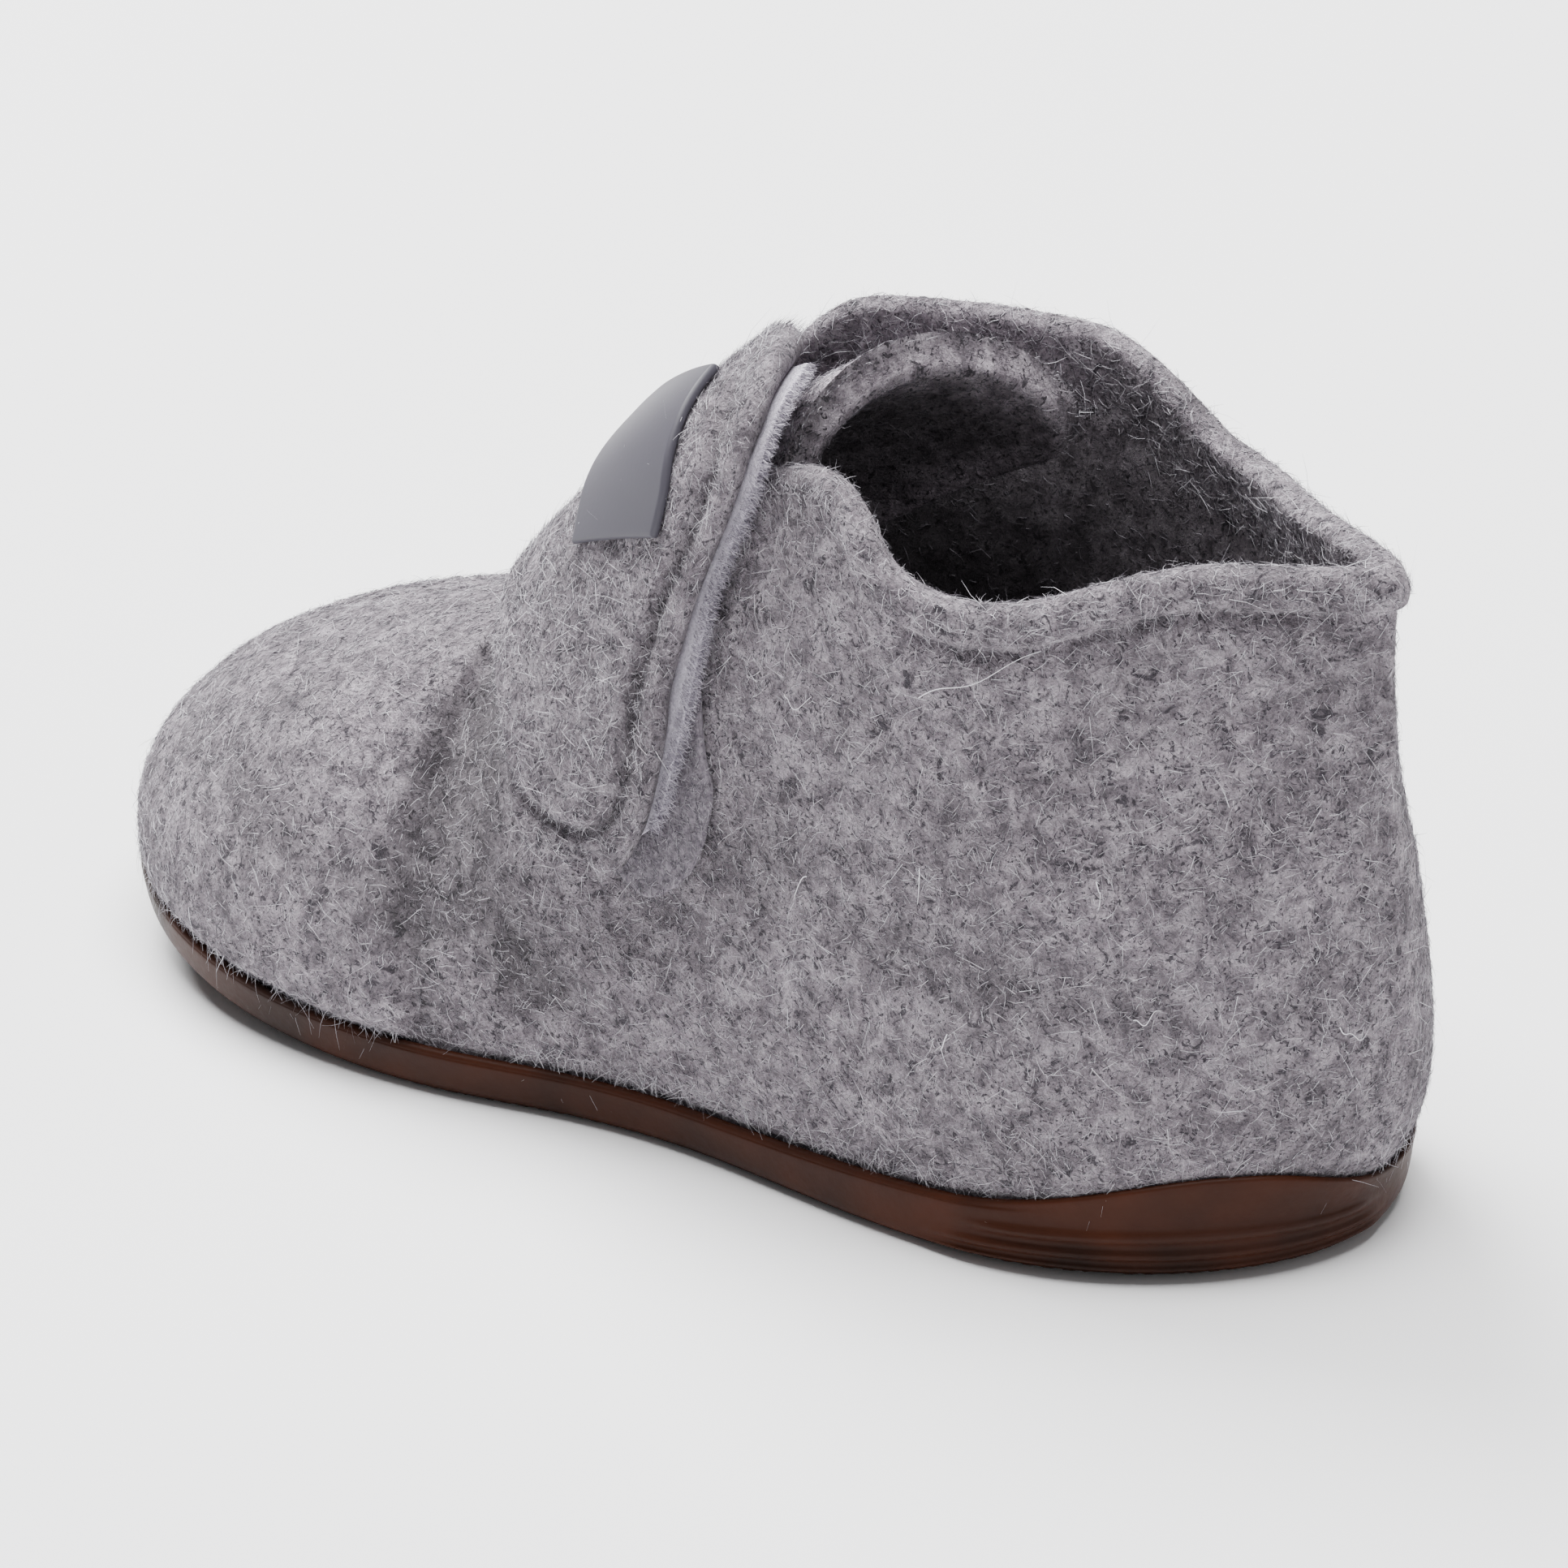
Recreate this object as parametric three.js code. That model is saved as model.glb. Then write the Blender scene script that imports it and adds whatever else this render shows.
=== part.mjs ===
// Felt baby shoe, left foot: cup outsole, hollow felt upper, tongue, insole, strap and badge.
// Millimetres. +X to the toe, +Y to the outer (lateral) side, +Z up, resting on Z = 0.
import * as THREE from "three";

// Overall sizes, all measured on the empty, unbent shoe.
const FELT = 2.8;
const GAP = 0.3;
const CUP_GAP = 0.4;
const VAMP_STEP = 1.3;
const VAMP_FOOT_RUN = [0.5, 3.5];
const RIM_STEP = 0.8;
const RIM_BAND = 3.4;
const SEAM_RUN = 1.1;
const COLLAR_END = [2.8, 4.0];
const LIP = 1.0;
const LIP_BELOW = 0.97;
const SOLE_BASE = 3.4;
const HEEL_BASE = 5.0;
const HEEL_SLOPE = [22, 62];
const SOLE_RIM = 1.4;
const INSOLE_THICK = 2.4;
const TOE_SPRING = 5.0;
const SPRING_START = 88;
const TOE_X = 138;
const TAPE_THICK = 0.8;
const BADGE_THICK = 1.0;
const BADGE_SEAT = 0.15;
const SEAM_HALF = 0.05;
const HEEL_BLEND = 1.5;
const FOOT_UPRIGHT = 0.12;
const RIM_HEEL = 6.4;
const RIM_BACK = 2.0;
const RIM_FRONT = 1.2;
const RIM_BACK_RUN = [0.2, 1.3];
const RIM_DIP = -0.4;
const RIM_FALL_RUN = [1.0, 2.4];
const HEEL_RUN = [1.7, 2.8];
const RIM_LIP = 0.7;
const TREAD_GROOVES = [1.62, 2.38, 4.87, 5.62, 6.62];
const GROOVE_HALF = 0.07;
const GROOVE_DEPTH = 1.2;
const ARCH = [34, 44, 52, 62];
const ARCH_RISE = 1.0;
// Sole's edge, for the forefoot and the heel: how far out from the felt, and how high.
const TREAD_REACH = [-1.8, -1.2];
const EDGE_REACH = [0.2, 0.7];
const EDGE_RISE = [0.2, 0.6];
const SIDE_REACH = [1.35, 1.6];
const SIDE_RISE = [1.5, 2.4];
const RIB_STEP = 0.5;
const HEEL_RIBS = 3;
const BRIDGE_EASE = 0.2;
const TONGUE_THICK = 3.5;
const STRAP_TIP = 54;

// One row per wall line, from the heel back round the outer side to the toe and home by the
// inner side. foot: where the wall meets the sole, seen from above. swell, rise: how far the
// wall first leans out and climbs. top: the collar, throat or vamp edge. spread, drop: how
// far the wall comes in from outside and below before that edge.
const WALL_COLUMNS = [
  "footX", "footY", "swell", "rise", "lean", "topX", "topY", "topZ", "spread", "drop",
];
const WALL_ROWS = [
  // heel back
  [1.8, 0.0, 10.2, 9.5, 0, 0.5, 0.0, 66.8, -2.0, 24],
  [8.4, 14.0, 8.0, 13, 0, 13.0, 8.5, 66.8, 3.0, 22],
  // heel side and waist, outer side
  [24.0, 23.0, 5.5, 15, 0, 29.0, 18.5, 62.6, 1.0, 20],
  [44.0, 23.5, 4.0, 18, 0, 42.0, 21.0, 64.8, 0.0, 20],
  // collar corner, throat edge and vamp seam, outer side
  [62.0, 21.5, 5.0, 18, 0, 52.5, 17.5, 70.2, 3.0, 20],
  [77.0, 22.5, 5.0, 16, 1, 76.0, 10.5, 56.5, 8.0, 9],
  [91.0, 25.0, 5.0, 14, 4, 94.5, 2.2, 39.9, 14.0, 4],
  // toe
  [112.0, 24.0, 5.0, 13, 2, 96.0, 1.4, 38.6, 18.0, 4],
  [130.3, 14.0, 5.0, 12, 0, 97.0, 0.0, 38.2, 21.5, 4],
  [137.9, -3.0, 5.0, 12, 0, 97.4, -1.5, 38.0, 23.0, 4],
  [131.8, -18.5, 5.0, 12, 0, 97.0, -3.0, 38.2, 21.5, 4],
  [112.0, -27.5, 5.0, 13, 2, 96.0, -4.4, 38.6, 18.0, 4],
  // vamp seam, throat edge and collar corner, inner side
  [91.0, -28.5, 4.0, 14, 4, 94.5, -5.2, 39.9, 14.0, 4],
  [77.0, -25.0, 4.0, 16, 1, 78.5, -12.8, 62.0, 6.0, 9],
  [61.0, -21.0, 4.0, 18, 0, 64.5, -16.3, 73.2, 3.0, 20],
  // waist and heel side, inner side
  [43.0, -19.0, 4.0, 18, 0, 46.0, -21.5, 72.8, 0.0, 20],
  [24.0, -19.5, 5.5, 15, 0, 28.0, -20.0, 65.2, 1.0, 20],
  [7.8, -13.9, 8.2, 10, 0, 12.0, -9.5, 65.8, 3.0, 22],
];
const TOP_COLUMNS = WALL_COLUMNS.indexOf("topX");
const ROWS = WALL_ROWS.length;
const TOE_ROW = ROWS / 2;
const SEAM_ROW = 6;

// Rows from the heel back, the same on both sides.
const wrap = (u) => ((u % ROWS) + ROWS) % ROWS;
const sideOf = (u) => TOE_ROW - Math.abs(TOE_ROW - wrap(u));

// Smooth closed curve through one value per row. A held curve never runs past a row's value
// where the next step is much shorter, as round the front of the throat.
function roundCurve(values, held) {
  const n = values.length;
  const next = (i) => (i + 1) % n;
  const before = (i) => (i + n - 1) % n;
  const step = values.map((value, i) => values[next(i)] - value);
  const slope = step.map((value, i) => (value + step[before(i)]) / 2);
  for (let pass = 0; pass < 40; pass++) {
    for (let i = 0; i < n; i++) {
      slope[i] = (3 * (step[i] + step[before(i)]) - slope[before(i)] - slope[next(i)]) / 4;
    }
  }
  if (held) {
    slope.forEach((value, i) => {
      const most = 3 * Math.min(Math.abs(step[i]), Math.abs(step[before(i)]));
      const way = Math.sign(step[i] + step[before(i)]);
      const least = step[i] * step[before(i)] > 0 ? 0 : -most;
      slope[i] = way * THREE.MathUtils.clamp(value * way, least, most);
    });
  }
  return (u) => {
    const w = wrap(u);
    const i = Math.floor(w);
    const t = w - i;
    const s = 1 - t;
    const ease = t * t * (3 - 2 * t);
    return values[i] + step[i] * ease + t * s * (s * slope[i] - t * slope[next(i)]);
  };
}

const wall = {};
WALL_COLUMNS.forEach((name, k) => {
  wall[name] = roundCurve(WALL_ROWS.map((row) => row[k]), k >= TOP_COLUMNS);
});

const smooth = (a, b, x) => THREE.MathUtils.smoothstep(x, a, b);
const mix = THREE.MathUtils.lerp;
const vec = (x, y, z) => new THREE.Vector3(x, y, z);

// Underside of the sole: flat, then rising to the toe.
function springAt(x) {
  const share = Math.max(0, x - SPRING_START) / (TOE_X - SPRING_START);
  return TOE_SPRING * share * share;
}

// Bed of the sole, thicker under the heel, and the level of the felt on it.
const bedLevel = (x) => springAt(x) + mix(HEEL_BASE, SOLE_BASE, smooth(...HEEL_SLOPE, x));
const footLevel = (x) => bedLevel(x) + GAP;

// Wall line at u: a cubic curve from the foot to the top edge, sampled by length.
const WALL_SAMPLES = 40;
const lineStore = new Map();
function wallLine(u) {
  const key = u.toFixed(5);
  if (lineStore.has(key)) {
    return lineStore.get(key);
  }
  const foot = vec(wall.footX(u), wall.footY(u), 0);
  foot.z = footLevel(foot.x);
  const step = 0.02;
  const alongX = wall.footX(u + step) - wall.footX(u - step);
  const alongY = wall.footY(u + step) - wall.footY(u - step);
  const out = vec(-alongY, alongX, 0).normalize();
  const top = vec(wall.topX(u), wall.topY(u), wall.topZ(u));
  const low = foot.clone().addScaledVector(out, wall.swell(u));
  low.z += wall.rise(u);
  low.x += wall.lean(u);
  const high = top.clone().addScaledVector(out, wall.spread(u));
  high.z -= wall.drop(u);
  high.x += wall.lean(u);
  const curve = new THREE.CubicBezierCurve3(foot, low, high, top);
  curve.arcLengthDivisions = WALL_SAMPLES;
  const line = { curve, length: curve.getLength() };
  lineStore.set(key, line);
  return line;
}

const wallPoint = (u, share) => wallLine(u).curve.getPointAt(Math.min(1, Math.max(0, share)));

function wallNormal(u, share) {
  const du = 0.02;
  const dv = 0.01;
  const mid = Math.min(1 - dv, Math.max(dv, share));
  const along = wallPoint(u + du, mid).sub(wallPoint(u - du, mid));
  const up = wallPoint(u, mid + dv).sub(wallPoint(u, mid - dv));
  const normal = up.cross(along).normalize();
  normal.z *= smooth(0, FOOT_UPRIGHT, share);
  return normal.normalize();
}

// Raised felt on the outside of the wall: the vamp over the quarters, the rolled collar rim.
function relief(u, share) {
  const side = sideOf(u);
  const length = wallLine(u).length;
  const height = share * length;
  const fromTop = length - height;
  const seam = smooth(SEAM_ROW - SEAM_HALF, SEAM_ROW + SEAM_HALF, side);
  const vamp = VAMP_STEP * seam * smooth(...VAMP_FOOT_RUN, height);
  const collar = 1 - smooth(...COLLAR_END, side);
  const rim = RIM_STEP * collar * (1 - smooth(RIM_BAND, RIM_BAND + SEAM_RUN, fromTop));
  return vamp + rim;
}

const outerPoint = (u, share, lift) =>
  wallPoint(u, share).addScaledVector(wallNormal(u, share), relief(u, share) + lift);

// Inner face of the wall. Near the heel seam it starts where the two sides meet.
function innerPoint(u, share, depth) {
  const side = sideOf(u);
  const hand = wrap(u) <= TOE_ROW ? 1 : -1;
  const inset = (s) => wallPoint(s * hand, share).addScaledVector(wallNormal(s * hand, share), -depth);
  if (side >= HEEL_BLEND) {
    return inset(side);
  }
  let low = 0;
  let high = inset(SEAM_HALF / 2).y * hand > 0 ? 0 : HEEL_BLEND;
  for (let pass = 0; pass < 20; pass++) {
    const mid = (low + high) / 2;
    if (inset(mid).y * hand > 0) {
      high = mid;
    } else {
      low = mid;
    }
  }
  const point = inset(high + (side * (HEEL_BLEND - high)) / HEEL_BLEND);
  if (side === 0) {
    point.y = 0;
  }
  return point;
}

// Columns round the wall: even ones, and the extra ones asked for on both sides.
function wallColumns(count, extra) {
  const half = extra.slice();
  for (let i = 0; i <= count; i++) {
    half.push((TOE_ROW * i) / count);
  }
  half.sort((a, b) => a - b);
  const back = half.slice(1, -1).map((u) => ROWS - u).reverse();
  return half.concat(back);
}

const columns = wallColumns(36, [SEAM_ROW - SEAM_HALF, SEAM_ROW + SEAM_HALF]);
const grooveEdges = TREAD_GROOVES.flatMap((u) => [u - GROOVE_HALF, u, u + GROOVE_HALF]);
const soleColumns = wallColumns(36, grooveEdges.filter((u) => !Number.isInteger(u * 4)));

// Solid from closed rings of equal length, joined first to last.
function ringSolid(rings, joined) {
  const n = rings[0].length;
  const positions = [];
  const index = [];
  rings.forEach((ring) => ring.forEach((p) => positions.push(p.x, p.y, p.z)));
  const spans = joined ? rings.length : rings.length - 1;
  for (let r = 0; r < spans; r++) {
    const a = r * n;
    const b = ((r + 1) % rings.length) * n;
    for (let i = 0; i < n; i++) {
      const j = (i + 1) % n;
      index.push(a + i, a + j, b + j, a + i, b + j, b + i);
    }
  }
  return { positions, index, n, rings };
}

// Closes a ring across its width: strips between each column and its mirror column.
function capRing(solid, ringNumber, across, height, flip) {
  const { positions, index, n, rings } = solid;
  const ring = rings[ringNumber];
  const start = ringNumber * n;
  const half = n / 2;
  const rows = [];
  for (let i = 0; i <= half; i++) {
    const a = start + i;
    const b = start + ((n - i) % n);
    if (i === 0 || i === half) {
      rows.push([a]);
      continue;
    }
    const line = [a];
    for (let k = 1; k < across; k++) {
      const p = ring[i].clone().lerp(ring[(n - i) % n], k / across);
      p.z = height(p, k / across, i);
      line.push(positions.length / 3);
      positions.push(p.x, p.y, p.z);
    }
    line.push(b);
    rows.push(line);
  }
  const add = (a, b, c) => (flip ? index.push(a, c, b) : index.push(a, b, c));
  for (let i = 0; i < half; i++) {
    const one = rows[i];
    const two = rows[i + 1];
    const steps = Math.max(one.length, two.length) - 1;
    for (let k = 0; k < steps; k++) {
      const a0 = one[Math.min(k, one.length - 1)];
      const a1 = one[Math.min(k + 1, one.length - 1)];
      const b0 = two[Math.min(k, two.length - 1)];
      const b1 = two[Math.min(k + 1, two.length - 1)];
      if (a0 !== a1) {
        add(a0, b0, a1);
      }
      if (b0 !== b1) {
        add(a1, b0, b1);
      }
    }
  }
}

function signedVolume(positions, index) {
  let sum = 0;
  for (let i = 0; i < index.length; i += 3) {
    const [a, b, c] = [index[i], index[i + 1], index[i + 2]].map((k) =>
      vec(positions[3 * k], positions[3 * k + 1], positions[3 * k + 2]));
    sum += a.dot(b.cross(c)) / 6;
  }
  return sum;
}

function toGeometry({ positions, index }) {
  const faces = signedVolume(positions, index) < 0 ? index.slice().reverse() : index;
  const geometry = new THREE.BufferGeometry();
  geometry.setAttribute("position", new THREE.Float32BufferAttribute(positions, 3));
  geometry.setIndex(faces);
  geometry.computeVertexNormals();
  return geometry;
}

// Height up the wall, in mm, as a share of the wall line.
const shareAt = (u, mm) => mm / wallLine(u).length;

// Top of the sole's rim round the felt: low at the forefoot, high at the sides of the heel.
function rimHeight(u) {
  const heel = mix(RIM_BACK, RIM_HEEL, smooth(...RIM_BACK_RUN, sideOf(u - RIM_DIP)));
  return mix(heel, RIM_FRONT, smooth(...RIM_FALL_RUN, sideOf(u)));
}

// Upper: outer face from the foot to the rim, rounded lip, inner face back to the foot.
function makeUpper() {
  const band = RIM_BAND + SEAM_RUN;
  const outerRing = (share) => columns.map((u) => outerPoint(u, share(u), 0));
  const between = (u, k) => mix(shareAt(u, rimHeight(u)), 1 - shareAt(u, band + 0.4), k);
  const rings = [outerRing(() => 0), outerRing((u) => shareAt(u, rimHeight(u) / 2))];
  for (let k = 0; k <= 9; k++) {
    rings.push(outerRing((u) => between(u, k / 9)));
  }
  [band, RIM_BAND, RIM_BAND / 2, 0].forEach((d) => rings.push(outerRing((u) => 1 - shareAt(u, d))));
  const lip = (u) => {
    const rise = wallPoint(u, 1).sub(wallPoint(u, LIP_BELOW)).normalize();
    return outerPoint(u, 1, 0).lerp(innerPoint(u, 1, FELT), 0.5).addScaledVector(rise, LIP);
  };
  rings.push(columns.map(lip));
  [1, 0.88, 0.7, 0.52, 0.36, 0.2, 0.08, 0].forEach((s) =>
    rings.push(columns.map((u) => innerPoint(u, s, FELT))));
  return ringSolid(rings, true);
}

// Underside of the tread: raised arch between the heel and the ball, grooves across.
function treadLevel(x, u) {
  const arch = smooth(ARCH[0], ARCH[1], x) * (1 - smooth(ARCH[2], ARCH[3], x));
  const near = Math.min(...TREAD_GROOVES.map((g) => Math.abs(sideOf(u) - g)));
  const groove = Math.max(0, 1 - near / GROOVE_HALF);
  return springAt(x) + ARCH_RISE * arch + GROOVE_DEPTH * groove;
}

// Outsole: tread edge, ribbed side, rim, inner face of the rim and flat bed. Pairs of values
// are for the forefoot and for the heel.
function makeOutsole() {
  const rings = [];
  const rim = CUP_GAP + SOLE_RIM;
  const heelShare = (u) => 1 - smooth(...HEEL_RUN, sideOf(u));
  const byPlace = (pair, u) => mix(pair[0], pair[1], heelShare(u));
  const faceRing = (k, lift) =>
    soleColumns.map((u) => outerPoint(u, shareAt(u, rimHeight(u) * k), byPlace(lift, u)));
  const edgeRing = (reach, level) => soleColumns.map((u) => {
    const p = outerPoint(u, 0, byPlace(reach, u));
    p.z = level(p.x, u);
    return p;
  });
  rings.push(edgeRing(TREAD_REACH, treadLevel));
  rings.push(edgeRing(EDGE_REACH, (x, u) => mix(springAt(x), treadLevel(x, u), 0.6) + byPlace(EDGE_RISE, u)));
  rings.push(edgeRing(SIDE_REACH, (x, u) => springAt(x) + byPlace(SIDE_RISE, u)));
  rings.push(faceRing(0, [rim, rim * 0.85]));
  for (let k = 0; k < HEEL_RIBS; k++) {
    rings.push(faceRing((k + 0.25) / HEEL_RIBS, [rim, rim]));
    rings.push(faceRing((k + 0.4) / HEEL_RIBS, [rim, rim + RIB_STEP]));
    rings.push(faceRing((k + 0.75) / HEEL_RIBS, [rim, rim + RIB_STEP]));
    rings.push(faceRing((k + 0.9) / HEEL_RIBS, [rim, rim]));
  }
  rings.push(faceRing(1, [rim * 0.85, CUP_GAP + RIM_LIP]));
  rings.push(faceRing(1, [CUP_GAP, CUP_GAP]));
  rings.push(faceRing(0.5, [CUP_GAP, CUP_GAP]));
  rings.push(edgeRing([CUP_GAP, CUP_GAP], bedLevel));
  const solid = ringSolid(rings, false);
  capRing(solid, 0, 6, (p, k, i) => treadLevel(p.x, soleColumns[i]), true);
  capRing(solid, rings.length - 1, 3, (p) => bedLevel(p.x), false);
  return solid;
}

// Insole: flat on the bed, inside the foot of the wall.
function makeInsole() {
  const ringAt = (level) => columns.map((u) => {
    const p = innerPoint(u, 0, FELT + GAP);
    p.z = footLevel(p.x) + level;
    return p;
  });
  const solid = ringSolid([ringAt(0), ringAt(INSOLE_THICK)], false);
  capRing(solid, 0, 3, (p) => footLevel(p.x), true);
  capRing(solid, 1, 3, (p) => footLevel(p.x) + INSOLE_THICK, false);
  return solid;
}

// Path across the shoe at u: up the outer wall, over the throat and down the inner wall.
const pathStore = new Map();
function acrossPath(u) {
  const key = u.toFixed(5);
  if (pathStore.has(key)) {
    return pathStore.get(key);
  }
  const points = [];
  const steps = 24;
  for (let i = 0; i < steps; i++) {
    points.push(wallPoint(u, i / steps));
  }
  const a = wallPoint(u, 1);
  const b = wallPoint(ROWS - u, 1);
  const chord = a.distanceTo(b);
  const ease = (w) => wallPoint(w, 1).sub(wallPoint(w, 0.98)).normalize().multiplyScalar(chord * BRIDGE_EASE);
  const bridge = new THREE.CubicBezierCurve3(a, a.clone().add(ease(u)), b.clone().add(ease(ROWS - u)), b);
  for (let i = 0; i < steps; i++) {
    points.push(bridge.getPoint(i / steps));
  }
  for (let i = steps; i >= 0; i--) {
    points.push(wallPoint(ROWS - u, i / steps));
  }
  const lengths = [0];
  for (let i = 1; i < points.length; i++) {
    lengths.push(lengths[i - 1] + points[i].distanceTo(points[i - 1]));
  }
  const outerEdge = lengths[steps];
  const innerEdge = lengths[2 * steps];
  const path = { points, lengths, mid: (outerEdge + innerEdge) / 2, half: (innerEdge - outerEdge) / 2 };
  pathStore.set(key, path);
  return path;
}

// Point c millimetres from the crest, positive to the outer side.
function acrossPoint(u, c) {
  const { points, lengths, mid } = acrossPath(u);
  const want = Math.min(lengths[lengths.length - 1] - 0.01, Math.max(0.01, mid - c));
  let i = 1;
  while (lengths[i] < want) {
    i++;
  }
  const t = (want - lengths[i - 1]) / (lengths[i] - lengths[i - 1]);
  return points[i - 1].clone().lerp(points[i], t);
}

function acrossNormal(u, c) {
  const along = acrossPoint(u + 0.05, c).sub(acrossPoint(u - 0.05, c));
  const over = acrossPoint(u, c + 0.6).sub(acrossPoint(u, c - 0.6));
  return along.cross(over).normalize();
}

const laidPoint = (u, c, lift) => acrossPoint(u, c).addScaledVector(acrossNormal(u, c), lift);

// Bent plate between two faces given as point functions of (i, j).
function plateSolid(ni, nj, low, high) {
  const positions = [];
  const index = [];
  const size = (ni + 1) * (nj + 1);
  [low, high].forEach((face) => {
    for (let i = 0; i <= ni; i++) {
      for (let j = 0; j <= nj; j++) {
        const p = face(i / ni, j / nj);
        positions.push(p.x, p.y, p.z);
      }
    }
  });
  const at = (i, j) => i * (nj + 1) + j;
  const quad = (a, b, c, d) => index.push(a, b, c, a, c, d);
  for (let i = 0; i < ni; i++) {
    for (let j = 0; j < nj; j++) {
      quad(at(i, j), at(i + 1, j), at(i + 1, j + 1), at(i, j + 1));
      quad(size + at(i, j), size + at(i, j + 1), size + at(i + 1, j + 1), size + at(i + 1, j));
    }
  }
  for (let i = 0; i < ni; i++) {
    quad(at(i + 1, 0), at(i, 0), size + at(i, 0), size + at(i + 1, 0));
    quad(at(i, nj), at(i + 1, nj), size + at(i + 1, nj), size + at(i, nj));
  }
  for (let j = 0; j < nj; j++) {
    quad(at(0, j), at(0, j + 1), size + at(0, j + 1), size + at(0, j));
    quad(at(ni, j + 1), at(ni, j), size + at(ni, j), size + at(ni, j + 1));
  }
  return { positions, index };
}

// Tongue: one row per station from under the vamp to the top edge.
const TONGUE_COLUMNS = ["midX", "midZ", "half", "back", "skew", "fall"];
const TONGUE_ROWS = [
  [103.0, 32.0, 5.0, 1.0, 0, 1.0],
  [94.0, 35.5, 6.0, 1.5, 0, 2.0],
  [85.0, 44.5, 8.5, 3.0, 0, 4.0],
  [76.0, 55.0, 11.0, 6.0, 0, 7.0],
  [66.0, 66.5, 13.5, 6.0, 4.5, 9.5],
  [52.5, 76.5, 15.0, 3.5, 8.5, 12.0],
];
const TONGUE_Y = -1.6;
const TONGUE_ARC = 1.2;
const TONGUE_ROUND = 0.07;

function openCurve(values, t) {
  const last = values.length - 1;
  const w = t * last;
  const i = Math.min(last - 1, Math.floor(w));
  const k = w - i;
  const [p0, p1, p2, p3] = [i - 1, i, i + 1, i + 2].map((n) => values[Math.min(last, Math.max(0, n))]);
  const slope = (p2 - p0) / 2;
  const next = (p3 - p1) / 2;
  const gain = p2 - p1;
  return p1 + k * slope + k * k * (3 * gain - 2 * slope - next) + k * k * k * (slope + next - 2 * gain);
}

function tonguePoint(i, j) {
  const at = {};
  TONGUE_COLUMNS.forEach((name, n) => {
    at[name] = openCurve(TONGUE_ROWS.map((row) => row[n]), i * (1 - TONGUE_ROUND * (1 - 2 * j) ** 6));
  });
  const turn = (1 - 2 * j) * TONGUE_ARC;
  const fall = (1 - Math.cos(turn)) / (1 - Math.cos(TONGUE_ARC));
  const side = Math.sin(turn) / Math.sin(TONGUE_ARC);
  return vec(at.midX - at.back * fall + at.skew * side, TONGUE_Y + at.half * side, at.midZ - at.fall * fall);
}

function makeTongue() {
  const step = 0.01;
  const clip = (x) => Math.min(1 - step, Math.max(step, x));
  const inner = (i, j) => {
    const a = clip(i);
    const b = clip(j);
    const along = tonguePoint(a + step, b).sub(tonguePoint(a - step, b));
    const over = tonguePoint(a, b + step).sub(tonguePoint(a, b - step));
    return tonguePoint(i, j).addScaledVector(over.cross(along).normalize(), TONGUE_THICK);
  };
  return plateSolid(16, 14, tonguePoint, inner);
}

// The strap lies on the hook tape, and the hook tape on the loop patch.
const STRAP_SEAT = 3.3 * GAP + 2 * TAPE_THICK;

// Strap edges by distance across the shoe, c in mm, positive on the outer side.
const STRAP_ROWS = [
  // c, back u, front u, height of the underside over the wall
  [-16, 5.0, 5.5, -2.8],
  [-6, 4.5, 5.5, -1.5],
  [4, 4.18, 5.48, 0.8],
  [14, 4.14, 5.4, STRAP_SEAT],
  [20, 4.24, 5.34, STRAP_SEAT],
  [30, 4.38, 5.2, STRAP_SEAT],
  [37, 4.4, 5.12, STRAP_SEAT],
  [42, 4.37, 5.02, STRAP_SEAT],
  [47, 4.36, 4.82, STRAP_SEAT],
  [50.5, 4.37, 4.64, STRAP_SEAT],
  [53, 4.42, 4.55, STRAP_SEAT],
  [54, 4.45, 4.51, STRAP_SEAT],
];
const PATCH_ROWS = [
  // c, back u, front u
  [34, 4.3, 4.8],
  [46, 4.18, 4.75],
  [52, 4.1, 4.62],
  [56, 4.09, 4.5],
  [59, 4.13, 4.38],
  [60, 4.2, 4.3],
];

// Hook tape under the strap, a little past its heel edge.
const TAPE_ROWS = [
  // c, back u, front u
  [16, 4.1, 4.4],
  [20, 4.16, 4.45],
  [30, 4.3, 4.55],
  [42, 4.29, 4.58],
  [50, 4.31, 4.56],
];

function tableAt(rows, x) {
  let i = 1;
  while (i < rows.length - 1 && rows[i][0] < x) {
    i++;
  }
  const [a, b] = [rows[i - 1], rows[i]];
  const t = Math.min(1, Math.max(0, (x - a[0]) / (b[0] - a[0])));
  return a.map((value, k) => mix(value, b[k], t));
}

function strapPoint(i, j, lift) {
  const [, back, front] = tableAt(STRAP_ROWS, mix(STRAP_ROWS[0][0], STRAP_TIP, i));
  const u0 = mix(back, front, j);
  const root = -acrossPath(u0).half + LIP + 2 * GAP;
  const c = mix(root, STRAP_TIP, i);
  const [, b, f, under] = tableAt(STRAP_ROWS, c);
  const u = mix(b, f, j);
  return laidPoint(u, c, under + lift);
}

function makeStrap() {
  return plateSolid(26, 8, (i, j) => strapPoint(i, j, 0), (i, j) => strapPoint(i, j, FELT));
}

// Flat pieces laid on the quarter or on the strap, by the same across-shoe table.
function laidPlate(rows, ni, nj, lift, thick) {
  const first = rows[0][0];
  const last = rows[rows.length - 1][0];
  const at = (i, j, up) => {
    const [c, back, front] = tableAt(rows, mix(first, last, i));
    return laidPoint(mix(back, front, j), c, up);
  };
  return plateSolid(ni, nj, (i, j) => at(i, j, lift), (i, j) => at(i, j, lift + thick));
}

// Badge on the strap, following the strap's own rise over the throat.
const BADGE_ROWS = [
  // c, back u, front u
  [1.5, 4.53, 5.03],
  [18.5, 4.56, 4.94],
];

// How much nearer the crest its front edge lies than its back edge.
const BADGE_SLANT = 5.0;

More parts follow.
